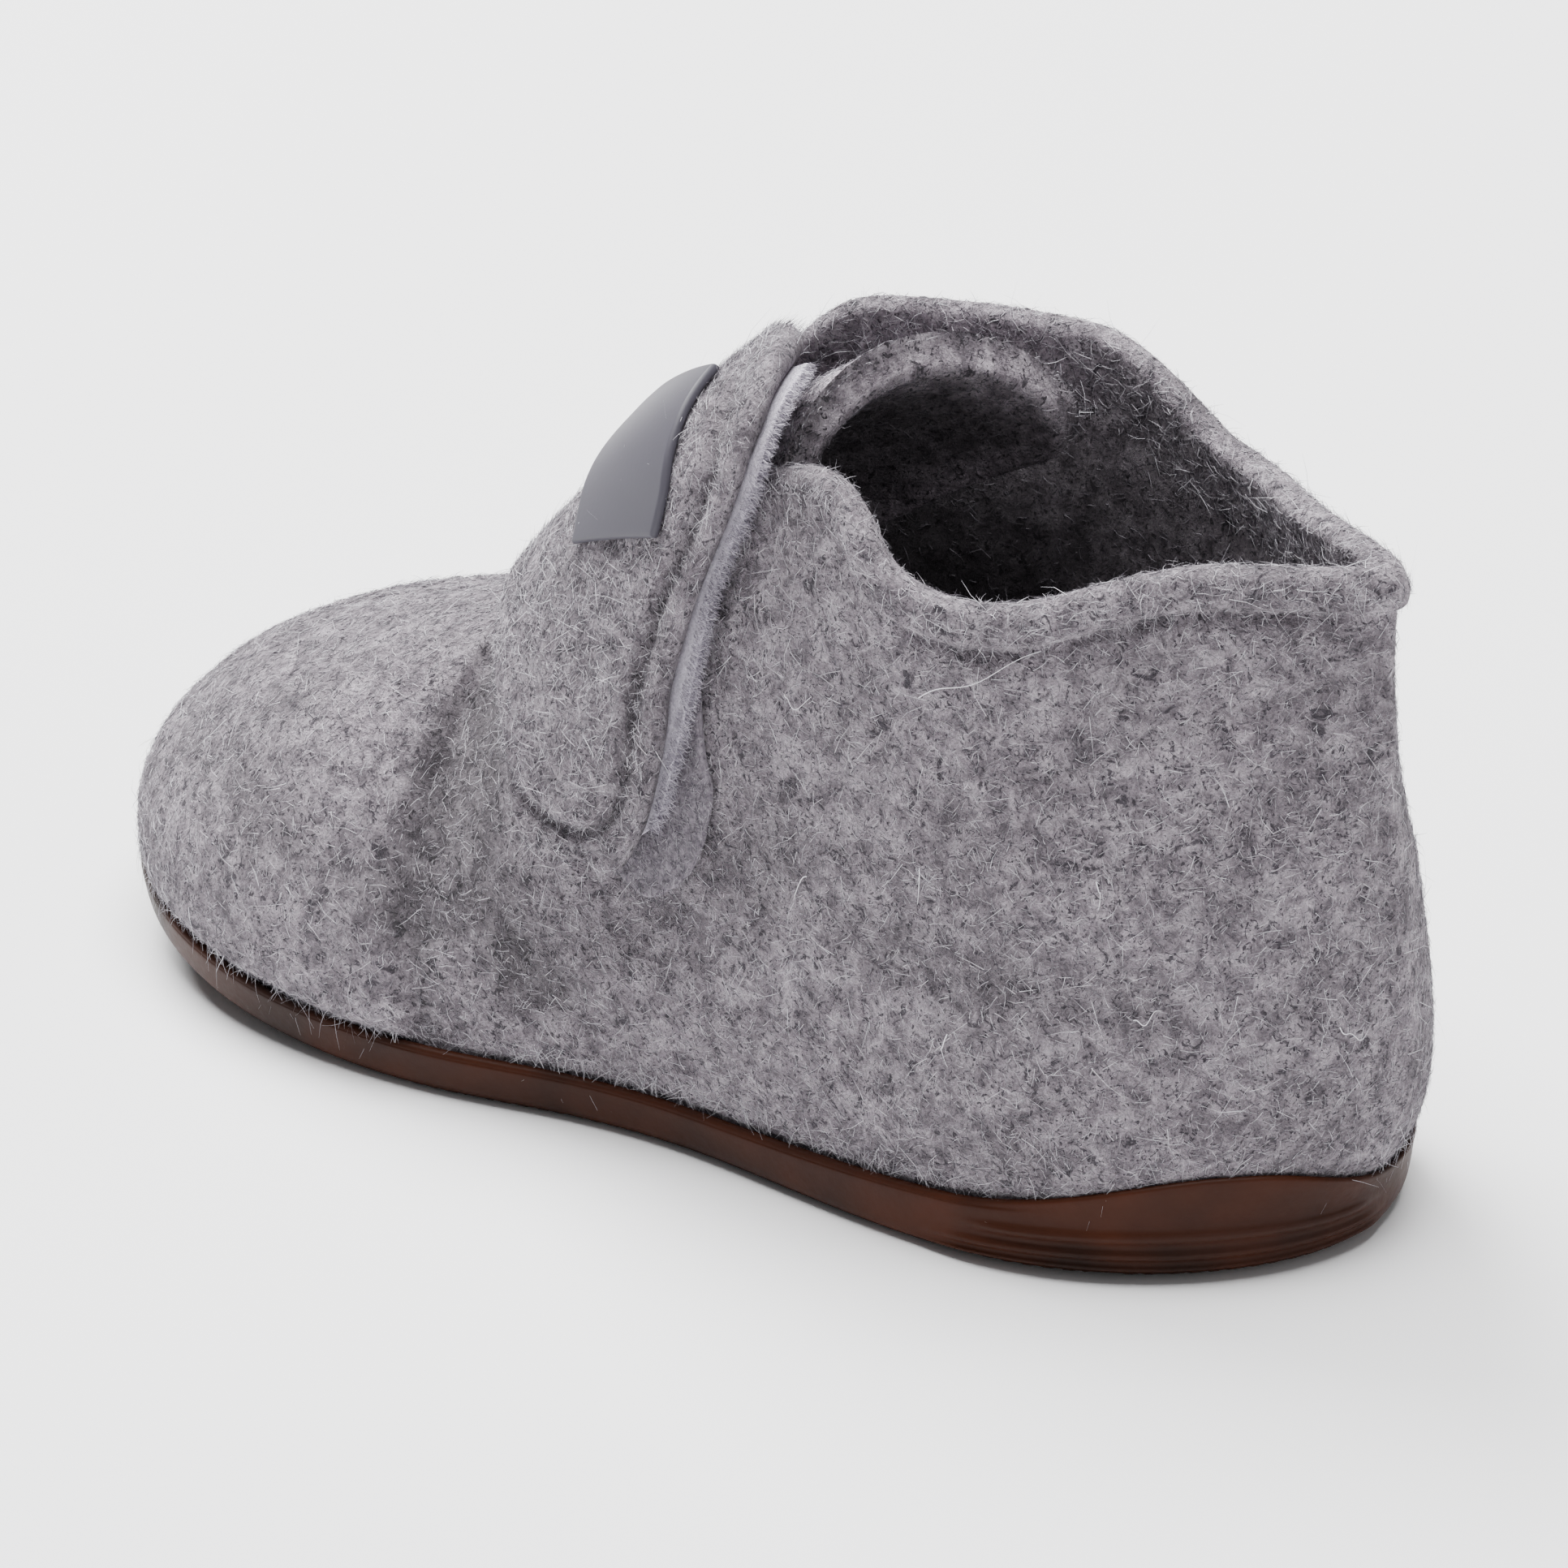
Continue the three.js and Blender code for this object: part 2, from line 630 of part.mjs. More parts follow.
function makeBadge() {
  const at = (i, j, up) => {
    const [middle, back, front] = tableAt(BADGE_ROWS, mix(BADGE_ROWS[0][0], BADGE_ROWS[1][0], i));
    const c = middle - BADGE_SLANT * (j - 0.5);
    const under = tableAt(STRAP_ROWS, c)[3];
    return laidPoint(mix(back, front, j), c, under + FELT + GAP + BADGE_SEAT + up);
  };
  return plateSolid(10, 4, (i, j) => at(i, j, 0), (i, j) => at(i, j, BADGE_THICK));
}

const GREY = 0x9c989c;
const group = new THREE.Group();
group.name = "felt_shoe";
function addPiece(name, solid, colour, roughness) {
  const material = new THREE.MeshStandardMaterial({ color: colour, roughness, metalness: 0 });
  material.name = name;
  const mesh = new THREE.Mesh(toGeometry(solid), material);
  mesh.name = name;
  group.add(mesh);
}
addPiece("outsole", makeOutsole(), 0x5a3423, 0.45);
addPiece("upper", makeUpper(), GREY, 0.95);
addPiece("insole", makeInsole(), GREY, 0.95);
addPiece("tongue", makeTongue(), GREY, 0.95);
addPiece("strap", makeStrap(), GREY, 0.95);
addPiece("loop_patch", laidPlate(PATCH_ROWS, 14, 6, GAP, TAPE_THICK), GREY, 0.9);
addPiece("hook_tape", laidPlate(TAPE_ROWS, 14, 2, 2 * GAP + TAPE_THICK, TAPE_THICK), 0xc9ccd6, 0.9);
addPiece("badge", makeBadge(), 0x77787e, 0.5);

// The row frame: origin at the middle of the underside's box.
const box = new THREE.Box3().setFromObject(group);
const middle = box.getCenter(vec(0, 0, 0));
group.children.forEach((mesh) => mesh.geometry.translate(-middle.x, -middle.y, -box.min.z));

export default group;
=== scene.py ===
import bpy
import numpy as np
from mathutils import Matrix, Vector


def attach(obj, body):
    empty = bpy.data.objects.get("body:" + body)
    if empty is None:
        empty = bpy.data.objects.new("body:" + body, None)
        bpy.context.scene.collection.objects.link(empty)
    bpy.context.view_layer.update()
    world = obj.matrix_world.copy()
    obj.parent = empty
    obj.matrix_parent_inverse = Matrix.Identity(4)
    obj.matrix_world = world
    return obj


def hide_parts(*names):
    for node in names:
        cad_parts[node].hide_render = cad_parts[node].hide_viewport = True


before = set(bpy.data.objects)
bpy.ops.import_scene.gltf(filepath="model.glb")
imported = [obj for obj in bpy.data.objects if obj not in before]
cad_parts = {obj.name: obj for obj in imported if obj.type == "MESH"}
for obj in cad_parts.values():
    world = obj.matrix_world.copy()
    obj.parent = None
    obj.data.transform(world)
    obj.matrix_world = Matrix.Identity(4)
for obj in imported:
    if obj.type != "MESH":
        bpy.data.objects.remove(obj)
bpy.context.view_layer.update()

bl_info = {
    "name": "Felt baby shoe",
    "version": (1, 0, 0),
    "blender": (4, 5, 0),
    "location": "3D View > Sidebar > Shoe",
    "description": "Builds a baby shoe of wool felt with a rubber cup sole",
    "category": "Add Mesh",
}

# Tables of the last, in millimetres with the heel at X 0; MIDDLE is then taken off them.
MIDDLE = np.array([68.8100, -1.5352, 0.0])
MM = 0.001
WALL_COLUMNS = [
    "footX", "footY", "swell", "rise", "lean", "topX", "topY", "topZ", "spread", "drop",
]
WALL_ROWS = np.array([
    # heel back
    [1.8, 0.0, 10.2, 9.5, 0, 0.5, 0.0, 66.8, -2.0, 24],
    [8.4, 14.0, 8.0, 13, 0, 13.0, 8.5, 66.8, 3.0, 22],
    # heel side and waist, outer side
    [24.0, 23.0, 5.5, 15, 0, 29.0, 18.5, 62.6, 1.0, 20],
    [44.0, 23.5, 4.0, 18, 0, 42.0, 21.0, 64.8, 0.0, 20],
    # collar corner, throat edge and vamp seam, outer side
    [62.0, 21.5, 5.0, 18, 0, 52.5, 17.5, 70.2, 3.0, 20],
    [77.0, 22.5, 5.0, 16, 1, 76.0, 10.5, 56.5, 8.0, 9],
    [91.0, 25.0, 5.0, 14, 4, 94.5, 2.2, 39.9, 14.0, 4],
    # toe
    [112.0, 24.0, 5.0, 13, 2, 96.0, 1.4, 38.6, 18.0, 4],
    [130.3, 14.0, 5.0, 12, 0, 97.0, 0.0, 38.2, 21.5, 4],
    [137.9, -3.0, 5.0, 12, 0, 97.4, -1.5, 38.0, 23.0, 4],
    [131.8, -18.5, 5.0, 12, 0, 97.0, -3.0, 38.2, 21.5, 4],
    [112.0, -27.5, 5.0, 13, 2, 96.0, -4.4, 38.6, 18.0, 4],
    # vamp seam, throat edge and collar corner, inner side
    [91.0, -28.5, 4.0, 14, 4, 94.5, -5.2, 39.9, 14.0, 4],
    [77.0, -25.0, 4.0, 16, 1, 78.5, -12.8, 62.0, 6.0, 9],
    [61.0, -21.0, 4.0, 18, 0, 64.5, -16.3, 73.2, 3.0, 20],
    # waist and heel side, inner side
    [43.0, -19.0, 4.0, 18, 0, 46.0, -21.5, 72.8, 0.0, 20],
    [24.0, -19.5, 5.5, 15, 0, 28.0, -20.0, 65.2, 1.0, 20],
    [7.8, -13.9, 8.2, 10, 0, 12.0, -9.5, 65.8, 3.0, 22],
])
ROWS = len(WALL_ROWS)
TOE_ROW = ROWS / 2
SEAM_ROW = 6
# from this column on, the curves never run past a row's value
HELD_FROM = WALL_COLUMNS.index("topX")

FELT = 2.8
GAP = 0.3
CUP_GAP = 0.4
VAMP_STEP = 1.3
VAMP_FOOT_RUN = (0.5, 3.5)
SEAM_HALF = 0.06
RIM_STEP = 0.8
RIM_BAND = 2.3
SEAM_RUN = 0.9
COLLAR_END = (2.8, 4.0)
LIP = 1.0
LIP_BELOW = 0.97
ROLL_RISE = 0.25
ROLL_RUN = 0.6
LIP_EASE = 1.2
HEEL_SEAM_RISE = 0.35
HEEL_SEAM_HALF = 0.10
# lumps of the milled felt: height and size in mm, seed
FELT_LUMPS = ((0.20, 9.0, 3), (0.11, 3.6, 5), (0.07, 1.5, 7))
SOLE_BASE = 3.4
HEEL_BASE = 5.0
HEEL_SLOPE = (22, 62)
SOLE_RIM = 1.4
INSOLE_THICK = 2.4
TOE_SPRING = 5.0
SPRING_START = 88
TOE_X = 138
TAPE_THICK = 0.8
BACKING = 0.4
TAPE_CLEAR = 0.15
# about how wide the tape and the patch are
PLATE_WIDTH = 6.0
BADGE_THICK = 1.0
HEEL_BLEND = 1.5
FOOT_UPRIGHT = 0.12
RIM_HEEL = 6.4
RIM_BACK = 2.0
RIM_DIP = -0.4
RIM_FRONT = 1.2
RIM_BACK_RUN = (0.2, 1.3)
RIM_FALL_RUN = (1.0, 2.4)
HEEL_RUN = (1.7, 2.8)
RIM_LIP = 0.7
TREAD_GROOVES = (1.62, 2.38, 4.87, 5.62, 6.62)
GROOVE_HALF = 0.07
GROOVE_DEPTH = 1.2
ARCH = (34, 44, 52, 62)
ARCH_RISE = 1.0
# the sole's lines, at the front and at the heel: reach out from the felt's foot, and rise
TREAD_REACH = (-1.8, -1.2)
BEVEL_REACH = (-1.2, -0.7)
EDGE_REACH = (0.2, 0.7)
EDGE_RISE = (0.2, 0.6)
LOW_REACH = (0.75, 1.15)
LOW_RISE = (0.6, 0.9)
WAIST_REACH = (1.45, 1.85)
WAIST_RISE = (1.6, 2.4)
# shares of the side's height at which its four lines lie
SIDE_KNOTS = np.array([0.0, 0.22, 0.6, 1.0])
NOTCH_PITCH = 1.9
NOTCH_DEPTH = 0.4
# each heel rib's share of the side's height, and where it starts from the heel back
HEEL_RIBS = ((0.14, 0.0), (0.30, 0.12), (0.46, 0.3))
RIB_HALF = 0.045
RIB_RISE = 0.55
BRIDGE_EASE = 0.2
TONGUE_THICK = 3.5
TONGUE_Y = -1.6
TONGUE_ARC = 1.2
TONGUE_ROUND = 0.07
TONGUE_RAISED = 1.2
# painted light: factor by which the tongue's felt colours are made paler, for light on its ring
TONGUE_PAINTED_LIGHT = 1.6
# midX, midZ, half width, backward sweep, skew, fall of the sides
TONGUE_ROWS = np.array([
    [103.0, 32.0, 5.0, 1.0, 0, 1.0],
    [94.0, 35.5, 6.0, 1.5, 0, 2.0],
    [85.0, 44.5, 8.5, 3.0, 0, 4.0],
    [76.0, 55.0, 11.0, 6.0, 0, 7.0],
    [66.0, 66.5, 13.5, 6.0, 4.5, 9.5],
    [52.5, 76.5, 15.0, 3.5, 8.5, 12.0],
])
STRAP_TIP = 54.0
STRAP_SEAT = 3.3 * GAP + 2 * TAPE_THICK
# distance across the shoe, back row, front row, height of the underside over the wall
STRAP_ROWS = np.array([
    [-16, 5.0, 5.5, -2.8],
    [-6, 4.5, 5.5, -1.5],
    [4, 4.18, 5.48, 0.8],
    [14, 4.14, 5.4, STRAP_SEAT],
    [20, 4.24, 5.34, STRAP_SEAT],
    [30, 4.38, 5.2, STRAP_SEAT],
    [37, 4.4, 5.12, STRAP_SEAT],
    [42, 4.37, 5.02, STRAP_SEAT],
    [47, 4.36, 4.82, STRAP_SEAT],
    [50.5, 4.37, 4.64, STRAP_SEAT],
    [53, 4.42, 4.55, STRAP_SEAT],
    [54, 4.45, 4.51, STRAP_SEAT],
])
# distance across the shoe, back row, front row
PATCH_ROWS = np.array([
    [34, 4.4, 4.8],
    [42, 4.29, 4.77],
    [46, 4.22, 4.75],
    [52, 4.1, 4.62],
    [56, 4.09, 4.5],
    [59, 4.13, 4.38],
    [60, 4.2, 4.3],
])
TAPE_ROWS = np.array([
    [6.0, 4.13, 4.4],
    [10, 4.11, 4.4],
    [16, 4.14, 4.42],
    [20, 4.2, 4.47],
    [30, 4.34, 4.55],
    [42, 4.335, 4.58],
    [49, 4.34, 4.56],
    [51.5, 4.38, 4.52],
])
# row, distance across and height over the strap: upper edge, then lower edge, back to front
BADGE_CORNERS = np.array([
    [[4.42, 8.0, 0.65], [4.92, 1.0, 1.3]],
    [[4.5, 21.6, 0.75], [4.92, 17.2, 0.75]],
])
# radius of each plate's edge
INSOLE_EDGE = 1.2
TONGUE_EDGE = 1.75
TONGUE_BROW = 3.6
STRAP_EDGE = 1.4
PATCH_EDGE = 0.4
TAPE_EDGE = 0.2
BADGE_EDGE = 0.35
# extra felt on the tongue's inside, and the row of its grid from which it shows
TONGUE_LINING = 0.4
TONGUE_SHOWS = 60
# the strap's stitched groove, measured in from its edge, and the pad inside it
STITCH_INSET = 4.1
STITCH_HALF = 1.05
STITCH_DEPTH = 0.7
PAD_RUN = (3.9, 6.0)
PAD_RISE = 0.95
BORDER_DIP = 0.4
# greys from light to dark of the felt and tape that have no setting of their own
INSOLE_GREYS = ("#6E6A70", "#5C585E", "#4A474C", "#2E2C30")
LOOP_GREYS = ("#827B83", "#58525A")
HOOK_GREYS = ("#D2CCD8", "#A8A2AF")
# what full painted shade turns the felt to
PAINTED_SHADE_COLOUR = "#272627"
# colours of the loose fibres over their tone
WOOL_TONES = ((0.0, "#4C494F"), (0.3, "#8C888E"), (0.7, "#B4B0B6"), (1.0, "#DEDCE2"))
NYLON_TONES = ((0.0, "#7E7884"), (1.0, "#E0DAE5"))


def linear(code):
    """A linear colour from an sRGB hex value such as #9B979B, without transparency."""
    parts = np.array([int(code[i:i + 2], 16) for i in (1, 3, 5)]) / 255
    low = parts / 12.92
    high = ((parts + 0.055) / 1.055) ** 2.4
    return tuple(np.where(parts <= 0.04045, low, high)) + (1.0,)


# Numbers

def smooth(a, b, x):
    """0 below a, 1 above b and an even S between them."""
    t = np.clip((x - a) / (b - a), 0, 1)
    return t * t * (3 - 2 * t)


def mix(a, b, t):
    """a at t 0 and b at t 1, in a straight line."""
    return a + (b - a) * t


def wrap(u):
    """u brought back to one turn round the foot."""
    return np.mod(u, ROWS)


def side_of(u):
    """Rows from the heel back, counted the same way on both sides."""
    return TOE_ROW - np.abs(TOE_ROW - wrap(u))


def unit(v):
    """Vectors divided by their length."""
    return v / np.maximum(np.linalg.norm(v, axis=-1, keepdims=True), 1e-9)


def closed_slopes(values, held):
    """Slopes of the smooth closed curve through one value per row, held where a step is short."""
    step = np.roll(values, -1) - values
    back = np.roll(step, 1)
    slope = (step + back) / 2
    n = len(values)
    for _ in range(40):
        for i in range(n):
            slope[i] = (3 * (step[i] + back[i]) - slope[i - 1] - slope[(i + 1) % n]) / 4
    if held:
        most = 3 * np.minimum(np.abs(step), np.abs(back))
        way = np.sign(step + back)
        least = np.where(step * back > 0, 0, -most)
        slope = way * np.clip(slope * way, least, most)
    return slope


SLOPES = [closed_slopes(WALL_ROWS[:, k], k >= HELD_FROM) for k in range(len(WALL_COLUMNS))]


def wall(name, u):
    """One column of the wall table at any u: a cubic between its rows."""
    k = WALL_COLUMNS.index(name)
    w = wrap(u)
    i = np.minimum(np.floor(w).astype(int), ROWS - 1)
    j = (i + 1) % ROWS
    t = w - i
    s = 1 - t
    values, slope = WALL_ROWS[:, k], SLOPES[k]
    ease = t * t * (3 - 2 * t)
    return values[i] + (values[j] - values[i]) * ease + t * s * (s * slope[i] - t * slope[j])


def table_curve(rows, x):
    """A table's columns at x: a cubic between rows that never runs past a row's value."""
    knots, values = rows[:, 0], rows[:, 1:]
    h = np.diff(knots)[:, None]
    step = np.diff(values, axis=0) / h
    slope = np.zeros_like(values)
    same = step[1:] * step[:-1] > 0
    with np.errstate(divide="ignore", invalid="ignore"):
        middle = 2 * step[1:] * step[:-1] / (step[1:] + step[:-1])
    slope[1:-1] = np.where(same, middle, 0)
    slope[0], slope[-1] = step[0], step[-1]
    x = np.clip(np.asarray(x, float), knots[0], knots[-1])
    i = np.clip(np.searchsorted(knots, x, side="right") - 1, 0, len(h) - 1)
    t = ((x - knots[i]) / h[i, 0])[..., None]
    s = 1 - t
    ease = t * t * (3 - 2 * t)
    bend = t * s * (s * slope[i] - t * slope[i + 1]) * h[i]
    return values[i] + (values[i + 1] - values[i]) * ease + bend


def spring_at(x):
    """Underside of the sole: flat, then rising to the toe as a square."""
    share = np.maximum(0, x - SPRING_START) / (TOE_X - SPRING_START)
    return TOE_SPRING * share * share


def bed_level(x):
    """Top of the sole inside the cup: the spring, plus a base that thins from heel to front."""
    return spring_at(x) + mix(HEEL_BASE, SOLE_BASE, smooth(*HEEL_SLOPE, x))


def foot_level(x):
    """Level of the felt's foot, one gap over the bed."""
    return bed_level(x) + GAP


def rim_height(u):
    """Top of the sole's rim over the felt's foot: high at the heel's sides, low elsewhere."""
    side = side_of(u)
    heel = mix(RIM_BACK, RIM_HEEL, smooth(*RIM_BACK_RUN, side_of(u - RIM_DIP)))
    return mix(heel, RIM_FRONT, smooth(*RIM_FALL_RUN, side))


def by_length(points, want):
    """Points at the lengths in want along each polyline of points, which is (lines, samples, 3)."""
    spans = np.linalg.norm(np.diff(points, axis=1), axis=2)
    along = np.concatenate([np.zeros((len(points), 1)), np.cumsum(spans, axis=1)], axis=1)
    last = points.shape[1] - 2
    i = np.clip((along[:, None, :] <= want[:, :, None]).sum(2) - 1, 0, last)
    line = np.arange(len(points))[:, None]
    t = (want - along[line, i]) / np.maximum(spans[line, i], 1e-9)
    t = np.clip(t, 0, 1)[..., None]
    return points[line, i] * (1 - t) + points[line, i + 1] * t


def wall_curves(u, samples=121):
    """The wall's cubic from foot to top edge at each u, as (u, samples, 3)."""
    foot_x = wall("footX", u)
    foot = np.stack([foot_x, wall("footY", u), foot_level(foot_x)], -1)
    step = 0.02
    along_x = wall("footX", u + step) - wall("footX", u - step)
    along_y = wall("footY", u + step) - wall("footY", u - step)
    out = unit(np.stack([-along_y, along_x, np.zeros_like(along_x)], -1))
    top = np.stack([wall("topX", u), wall("topY", u), wall("topZ", u)], -1)
    lean = np.stack([wall("lean", u), np.zeros_like(u), np.zeros_like(u)], -1)
    up = np.array([0, 0, 1.0])
    low = foot + out * wall("swell", u)[:, None] + up * wall("rise", u)[:, None] + lean
    high = top + out * wall("spread", u)[:, None] - up * wall("drop", u)[:, None] + lean
    t = np.linspace(0, 1, samples)[None, :, None]
    s = 1 - t
    foot, low, high, top = (p[:, None, :] for p in (foot, low, high, top))
    return s**3 * foot + 3 * s * s * t * low + 3 * s * t * t * high + t**3 * top


def curve_length(curves):
    """Length of each polyline in mm."""
    return np.linalg.norm(np.diff(curves, axis=1), axis=2).sum(1)


def wall_points(u, share):
    """Points of the wall at u (n) and share (n, m) of each wall line's length."""
    curves = wall_curves(u)
    length = curve_length(curves)[:, None]
    return by_length(curves, np.clip(share, 0, 1) * length)


def wall_normals(u, share):
    """Outward normals of the wall, turned level at its foot."""
    du, dv = 0.02, 0.01
    mid = np.clip(share, dv, 1 - dv)
    along = wall_points(u + du, mid) - wall_points(u - du, mid)
    up = wall_points(u, mid + dv) - wall_points(u, mid - dv)
    normal = unit(np.cross(up, along))
    normal[..., 2] *= smooth(0, FOOT_UPRIGHT, share)
    return unit(normal)


def lattice(p, seed):
    """Repeatable random values from -1 to 1 for whole-number points."""
    h = p[..., 0] * 374761393 + p[..., 1] * 668265263 + p[..., 2] * 2147483647 + seed * 1274126177
    h = (h ^ (h >> 13)) * 1103515245
    h = (h ^ (h >> 16)) & 0xFFFFFF
    return h / float(0x7FFFFF) - 1.0


def lumps(points, size, seed):
    """Soft uneven relief: values of a random lattice of that cell size in mm, blended smoothly."""
    p = points / size
    base = np.floor(p).astype(np.int64)
    t = p - base
    t = t * t * (3 - 2 * t)
    total = 0
    for corner in range(8):
        pick = np.array([(corner >> k) & 1 for k in range(3)])
        weight = np.prod(np.where(pick == 1, t, 1 - t), axis=-1)
        total = total + weight * lattice(base + pick, seed)
    return total


# Meshes

def make_piece(name, points, faces, material, nodes=(), slot=None, **attributes):
    """A mesh object from points in table millimetres and a list of face arrays. Each further
    argument is a value per point, kept as an attribute for the material."""
    mesh = bpy.data.meshes.new(name)
    verts = (np.asarray(points).reshape(-1, 3) - MIDDLE) * MM
    corners = [row for f in faces for row in f.reshape(-1, f.shape[-1]).tolist()]
    mesh.from_pydata(verts.tolist(), [], corners)
    mesh.polygons.foreach_set("use_smooth", [True] * len(mesh.polygons))
    mesh.materials.append(material)
    for key, values in attributes.items():
        layer = mesh.attributes.new(key, "FLOAT", "POINT")
        layer.data.foreach_set("value", np.asarray(values, np.float32).ravel())
    obj = bpy.data.objects.new(name, mesh)
    bpy.context.scene.collection.objects.link(obj)
    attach(obj, "root")
    if nodes:
        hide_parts(*nodes)
    return obj


def grid_faces(ni, nj, close_j=False):
    """Four-sided faces of an ni by nj grid of points numbered row by row and closed along i."""
    i = np.arange(ni)
    j = np.arange(nj if close_j else nj - 1)
    i, j = np.meshgrid(i, j, indexing="ij")
    i2, j2 = (i + 1) % ni, (j + 1) % nj
    return np.stack([i * nj + j2, i2 * nj + j2, i2 * nj + j, i * nj + j], -1)


def cells(number):
    """The four-sided faces between the point numbers of a grid."""
    return np.stack([number[:-1, :-1], number[1:, :-1], number[1:, 1:], number[:-1, 1:]], -1)


def pillow(top, bottom):
    """Points and faces of a closed plate: two grids of equal size that share their border."""
    ni, nj = top.shape[:2]
    number = np.arange(ni * nj).reshape(ni, nj)
    lower = number.copy()
    lower[1:-1, 1:-1] = ni * nj + np.arange((ni - 2) * (nj - 2)).reshape(ni - 2, nj - 2)
    points = np.concatenate([top.reshape(-1, 3), bottom[1:-1, 1:-1].reshape(-1, 3)])
    return points, [cells(number), cells(lower)[..., ::-1]]


def add_plate(name, top, bottom, material, covered, turned=False, **attributes):
    """A closed plate in place of the node covered; its faces are turned round where the grid's
    two directions run the other way about."""
    points, faces = pillow(top, bottom)
    if turned:
        faces = [f[..., ::-1] for f in faces]
    make_piece(name, points, faces, material, [covered], covered, **attributes)


def plate_steps(n, length, radius):
    """n+1 values from 0 to 1 across a plate of that length; near both edges they follow the
    edge's quarter circle in even angles."""
    turn = np.linspace(0, np.pi / 2, 7)
    near = radius * (1 - np.cos(turn)) / length
    middle = np.linspace(near[-1], 1 - near[-1], n - 11)
    return np.concatenate([near[:-1], middle, (1 - near)[-2::-1]])


def edge_distance(grid):
    """For each point of a grid, its distance in mm from each of the four borders."""
    di = np.linalg.norm(np.diff(grid, axis=0), axis=2)
    dj = np.linalg.norm(np.diff(grid, axis=1), axis=2)
    from_i = np.concatenate([np.zeros((1, grid.shape[1])), np.cumsum(di, axis=0)])
    from_j = np.concatenate([np.zeros((grid.shape[0], 1)), np.cumsum(dj, axis=1)], axis=1)
    return from_i, from_i[-1:] - from_i, from_j, from_j[:, -1:] - from_j


def rounded(distance, radius):
    """Share of a plate's half thickness at a distance from its edge: a quarter circle."""
    t = np.clip(distance / radius, 0, 1)
    return np.sqrt(np.clip(1 - (1 - t) ** 2, 0, 1))


def round_corner(a, b, radius):
    """Distance from two edges whose corner is turned on a radius."""
    near = (a < radius) & (b < radius)
    return np.where(near, radius - np.hypot(radius - a, radius - b), np.minimum(a, b))


def grid_normals(grid):
    """Normals of a grid from its neighbours, along i crossed with along j."""
    return unit(np.cross(np.gradient(grid, axis=0), np.gradient(grid, axis=1)))


# The surface across the shoe

ACROSS_STEP = (0.02, 0.5)
ACROSS_U = np.arange(3.5, 6.01, ACROSS_STEP[0])
ACROSS_C = np.arange(-34.0, 72.0, ACROSS_STEP[1])


def across_paths(u, samples=49):
    """Paths over the shoe: up the outer wall, over the throat on an arc, down the inner wall. With
    them come the length up to the crest and half the throat's width."""
    near = wall_curves(u, samples)
    far = wall_curves(ROWS - u, samples)
    a, b = near[:, -1], far[:, -1]
    chord = np.linalg.norm(a - b, axis=1)[:, None] * BRIDGE_EASE
    lead_a = unit(near[:, -1] - near[:, -2]) * chord
    lead_b = unit(far[:, -1] - far[:, -2]) * chord
    t = np.linspace(0, 1, samples)[None, :, None]
    s = 1 - t
    ends = [p[:, None, :] for p in (a, a + lead_a, b + lead_b, b)]
    bridge = s**3 * ends[0] + 3 * s * s * t * ends[1] + 3 * s * t * t * ends[2] + t**3 * ends[3]
    path = np.concatenate([near[:, :-1], bridge[:, :-1], far[:, ::-1]], axis=1)
    start = curve_length(near)
    width = curve_length(bridge)
    return path, start + width / 2, width / 2


def across_points(u, c):
    """Points on the paths at u, c millimetres from the crest towards the outer side."""
    path, mid, _ = across_paths(u)
    return by_length(path, mid[:, None] - c)


def across_tables():
    """Points and normals over ACROSS_U and ACROSS_C, and half the throat's width at ACROSS_U."""
    c = np.broadcast_to(ACROSS_C, (len(ACROSS_U), len(ACROSS_C)))
    points = across_points(ACROSS_U, c)
    along = across_points(ACROSS_U + 0.05, c) - across_points(ACROSS_U - 0.05, c)
    over = across_points(ACROSS_U, c + 0.6) - across_points(ACROSS_U, c - 0.6)
    return points, unit(np.cross(along, over)), across_paths(ACROSS_U)[2]


ACROSS_POINTS, ACROSS_NORMALS, ACROSS_HALF = across_tables()


def laid(u, c, lift):
    """Points over the shoe at row u and c millimetres from the crest, raised by lift."""
    x = np.clip((u - ACROSS_U[0]) / ACROSS_STEP[0], 0, len(ACROSS_U) - 1.001)
    y = np.clip((c - ACROSS_C[0]) / ACROSS_STEP[1], 0, len(ACROSS_C) - 1.001)
    i, j = np.floor(x).astype(int), np.floor(y).astype(int)
    s, t = (x - i)[..., None], (y - j)[..., None]

    def pick(table):
        low = table[i, j] * (1 - t) + table[i, j + 1] * t
        high = table[i + 1, j] * (1 - t) + table[i + 1, j + 1] * t
        return low * (1 - s) + high * s
    return pick(ACROSS_POINTS) + unit(pick(ACROSS_NORMALS)) * lift[..., None]


# Materials

def node(tree, kind, inputs=None, **settings):
    """Adds a node with its settings; an input that is a socket is linked, anything else is set."""
    made = tree.nodes.new("ShaderNode" + kind)
    for key, value in settings.items():
        setattr(made, key, value)
    for key, value in (inputs or {}).items():
        if isinstance(value, bpy.types.NodeSocket):
            tree.links.new(value, made.inputs[key])
        else:
            made.inputs[key].default_value = value
    return made


def ramp(tree, factor, stops):
    """A colour ramp from (place, linear colour) pairs."""
    made = node(tree, "ValToRGB", {"Fac": factor})
    band = made.color_ramp
    while len(band.elements) < len(stops):
        band.elements.new(0.5)
    for element, (place, colour) in zip(band.elements, stops):
        element.position = place
        element.color = colour
    return made.outputs["Color"]


def grey(value):
    """An even factor for a colour to be multiplied by."""
    return (value, value, value, 1.0)


def start_material(name):
    """A material without nodes, its node tree, and the object's own coordinates."""
    made = bpy.data.materials.new(name)
    made.use_nodes = True
    tree = made.node_tree
    tree.nodes.clear()
    place = node(tree, "TexCoord").outputs["Object"]
    return made, tree, place


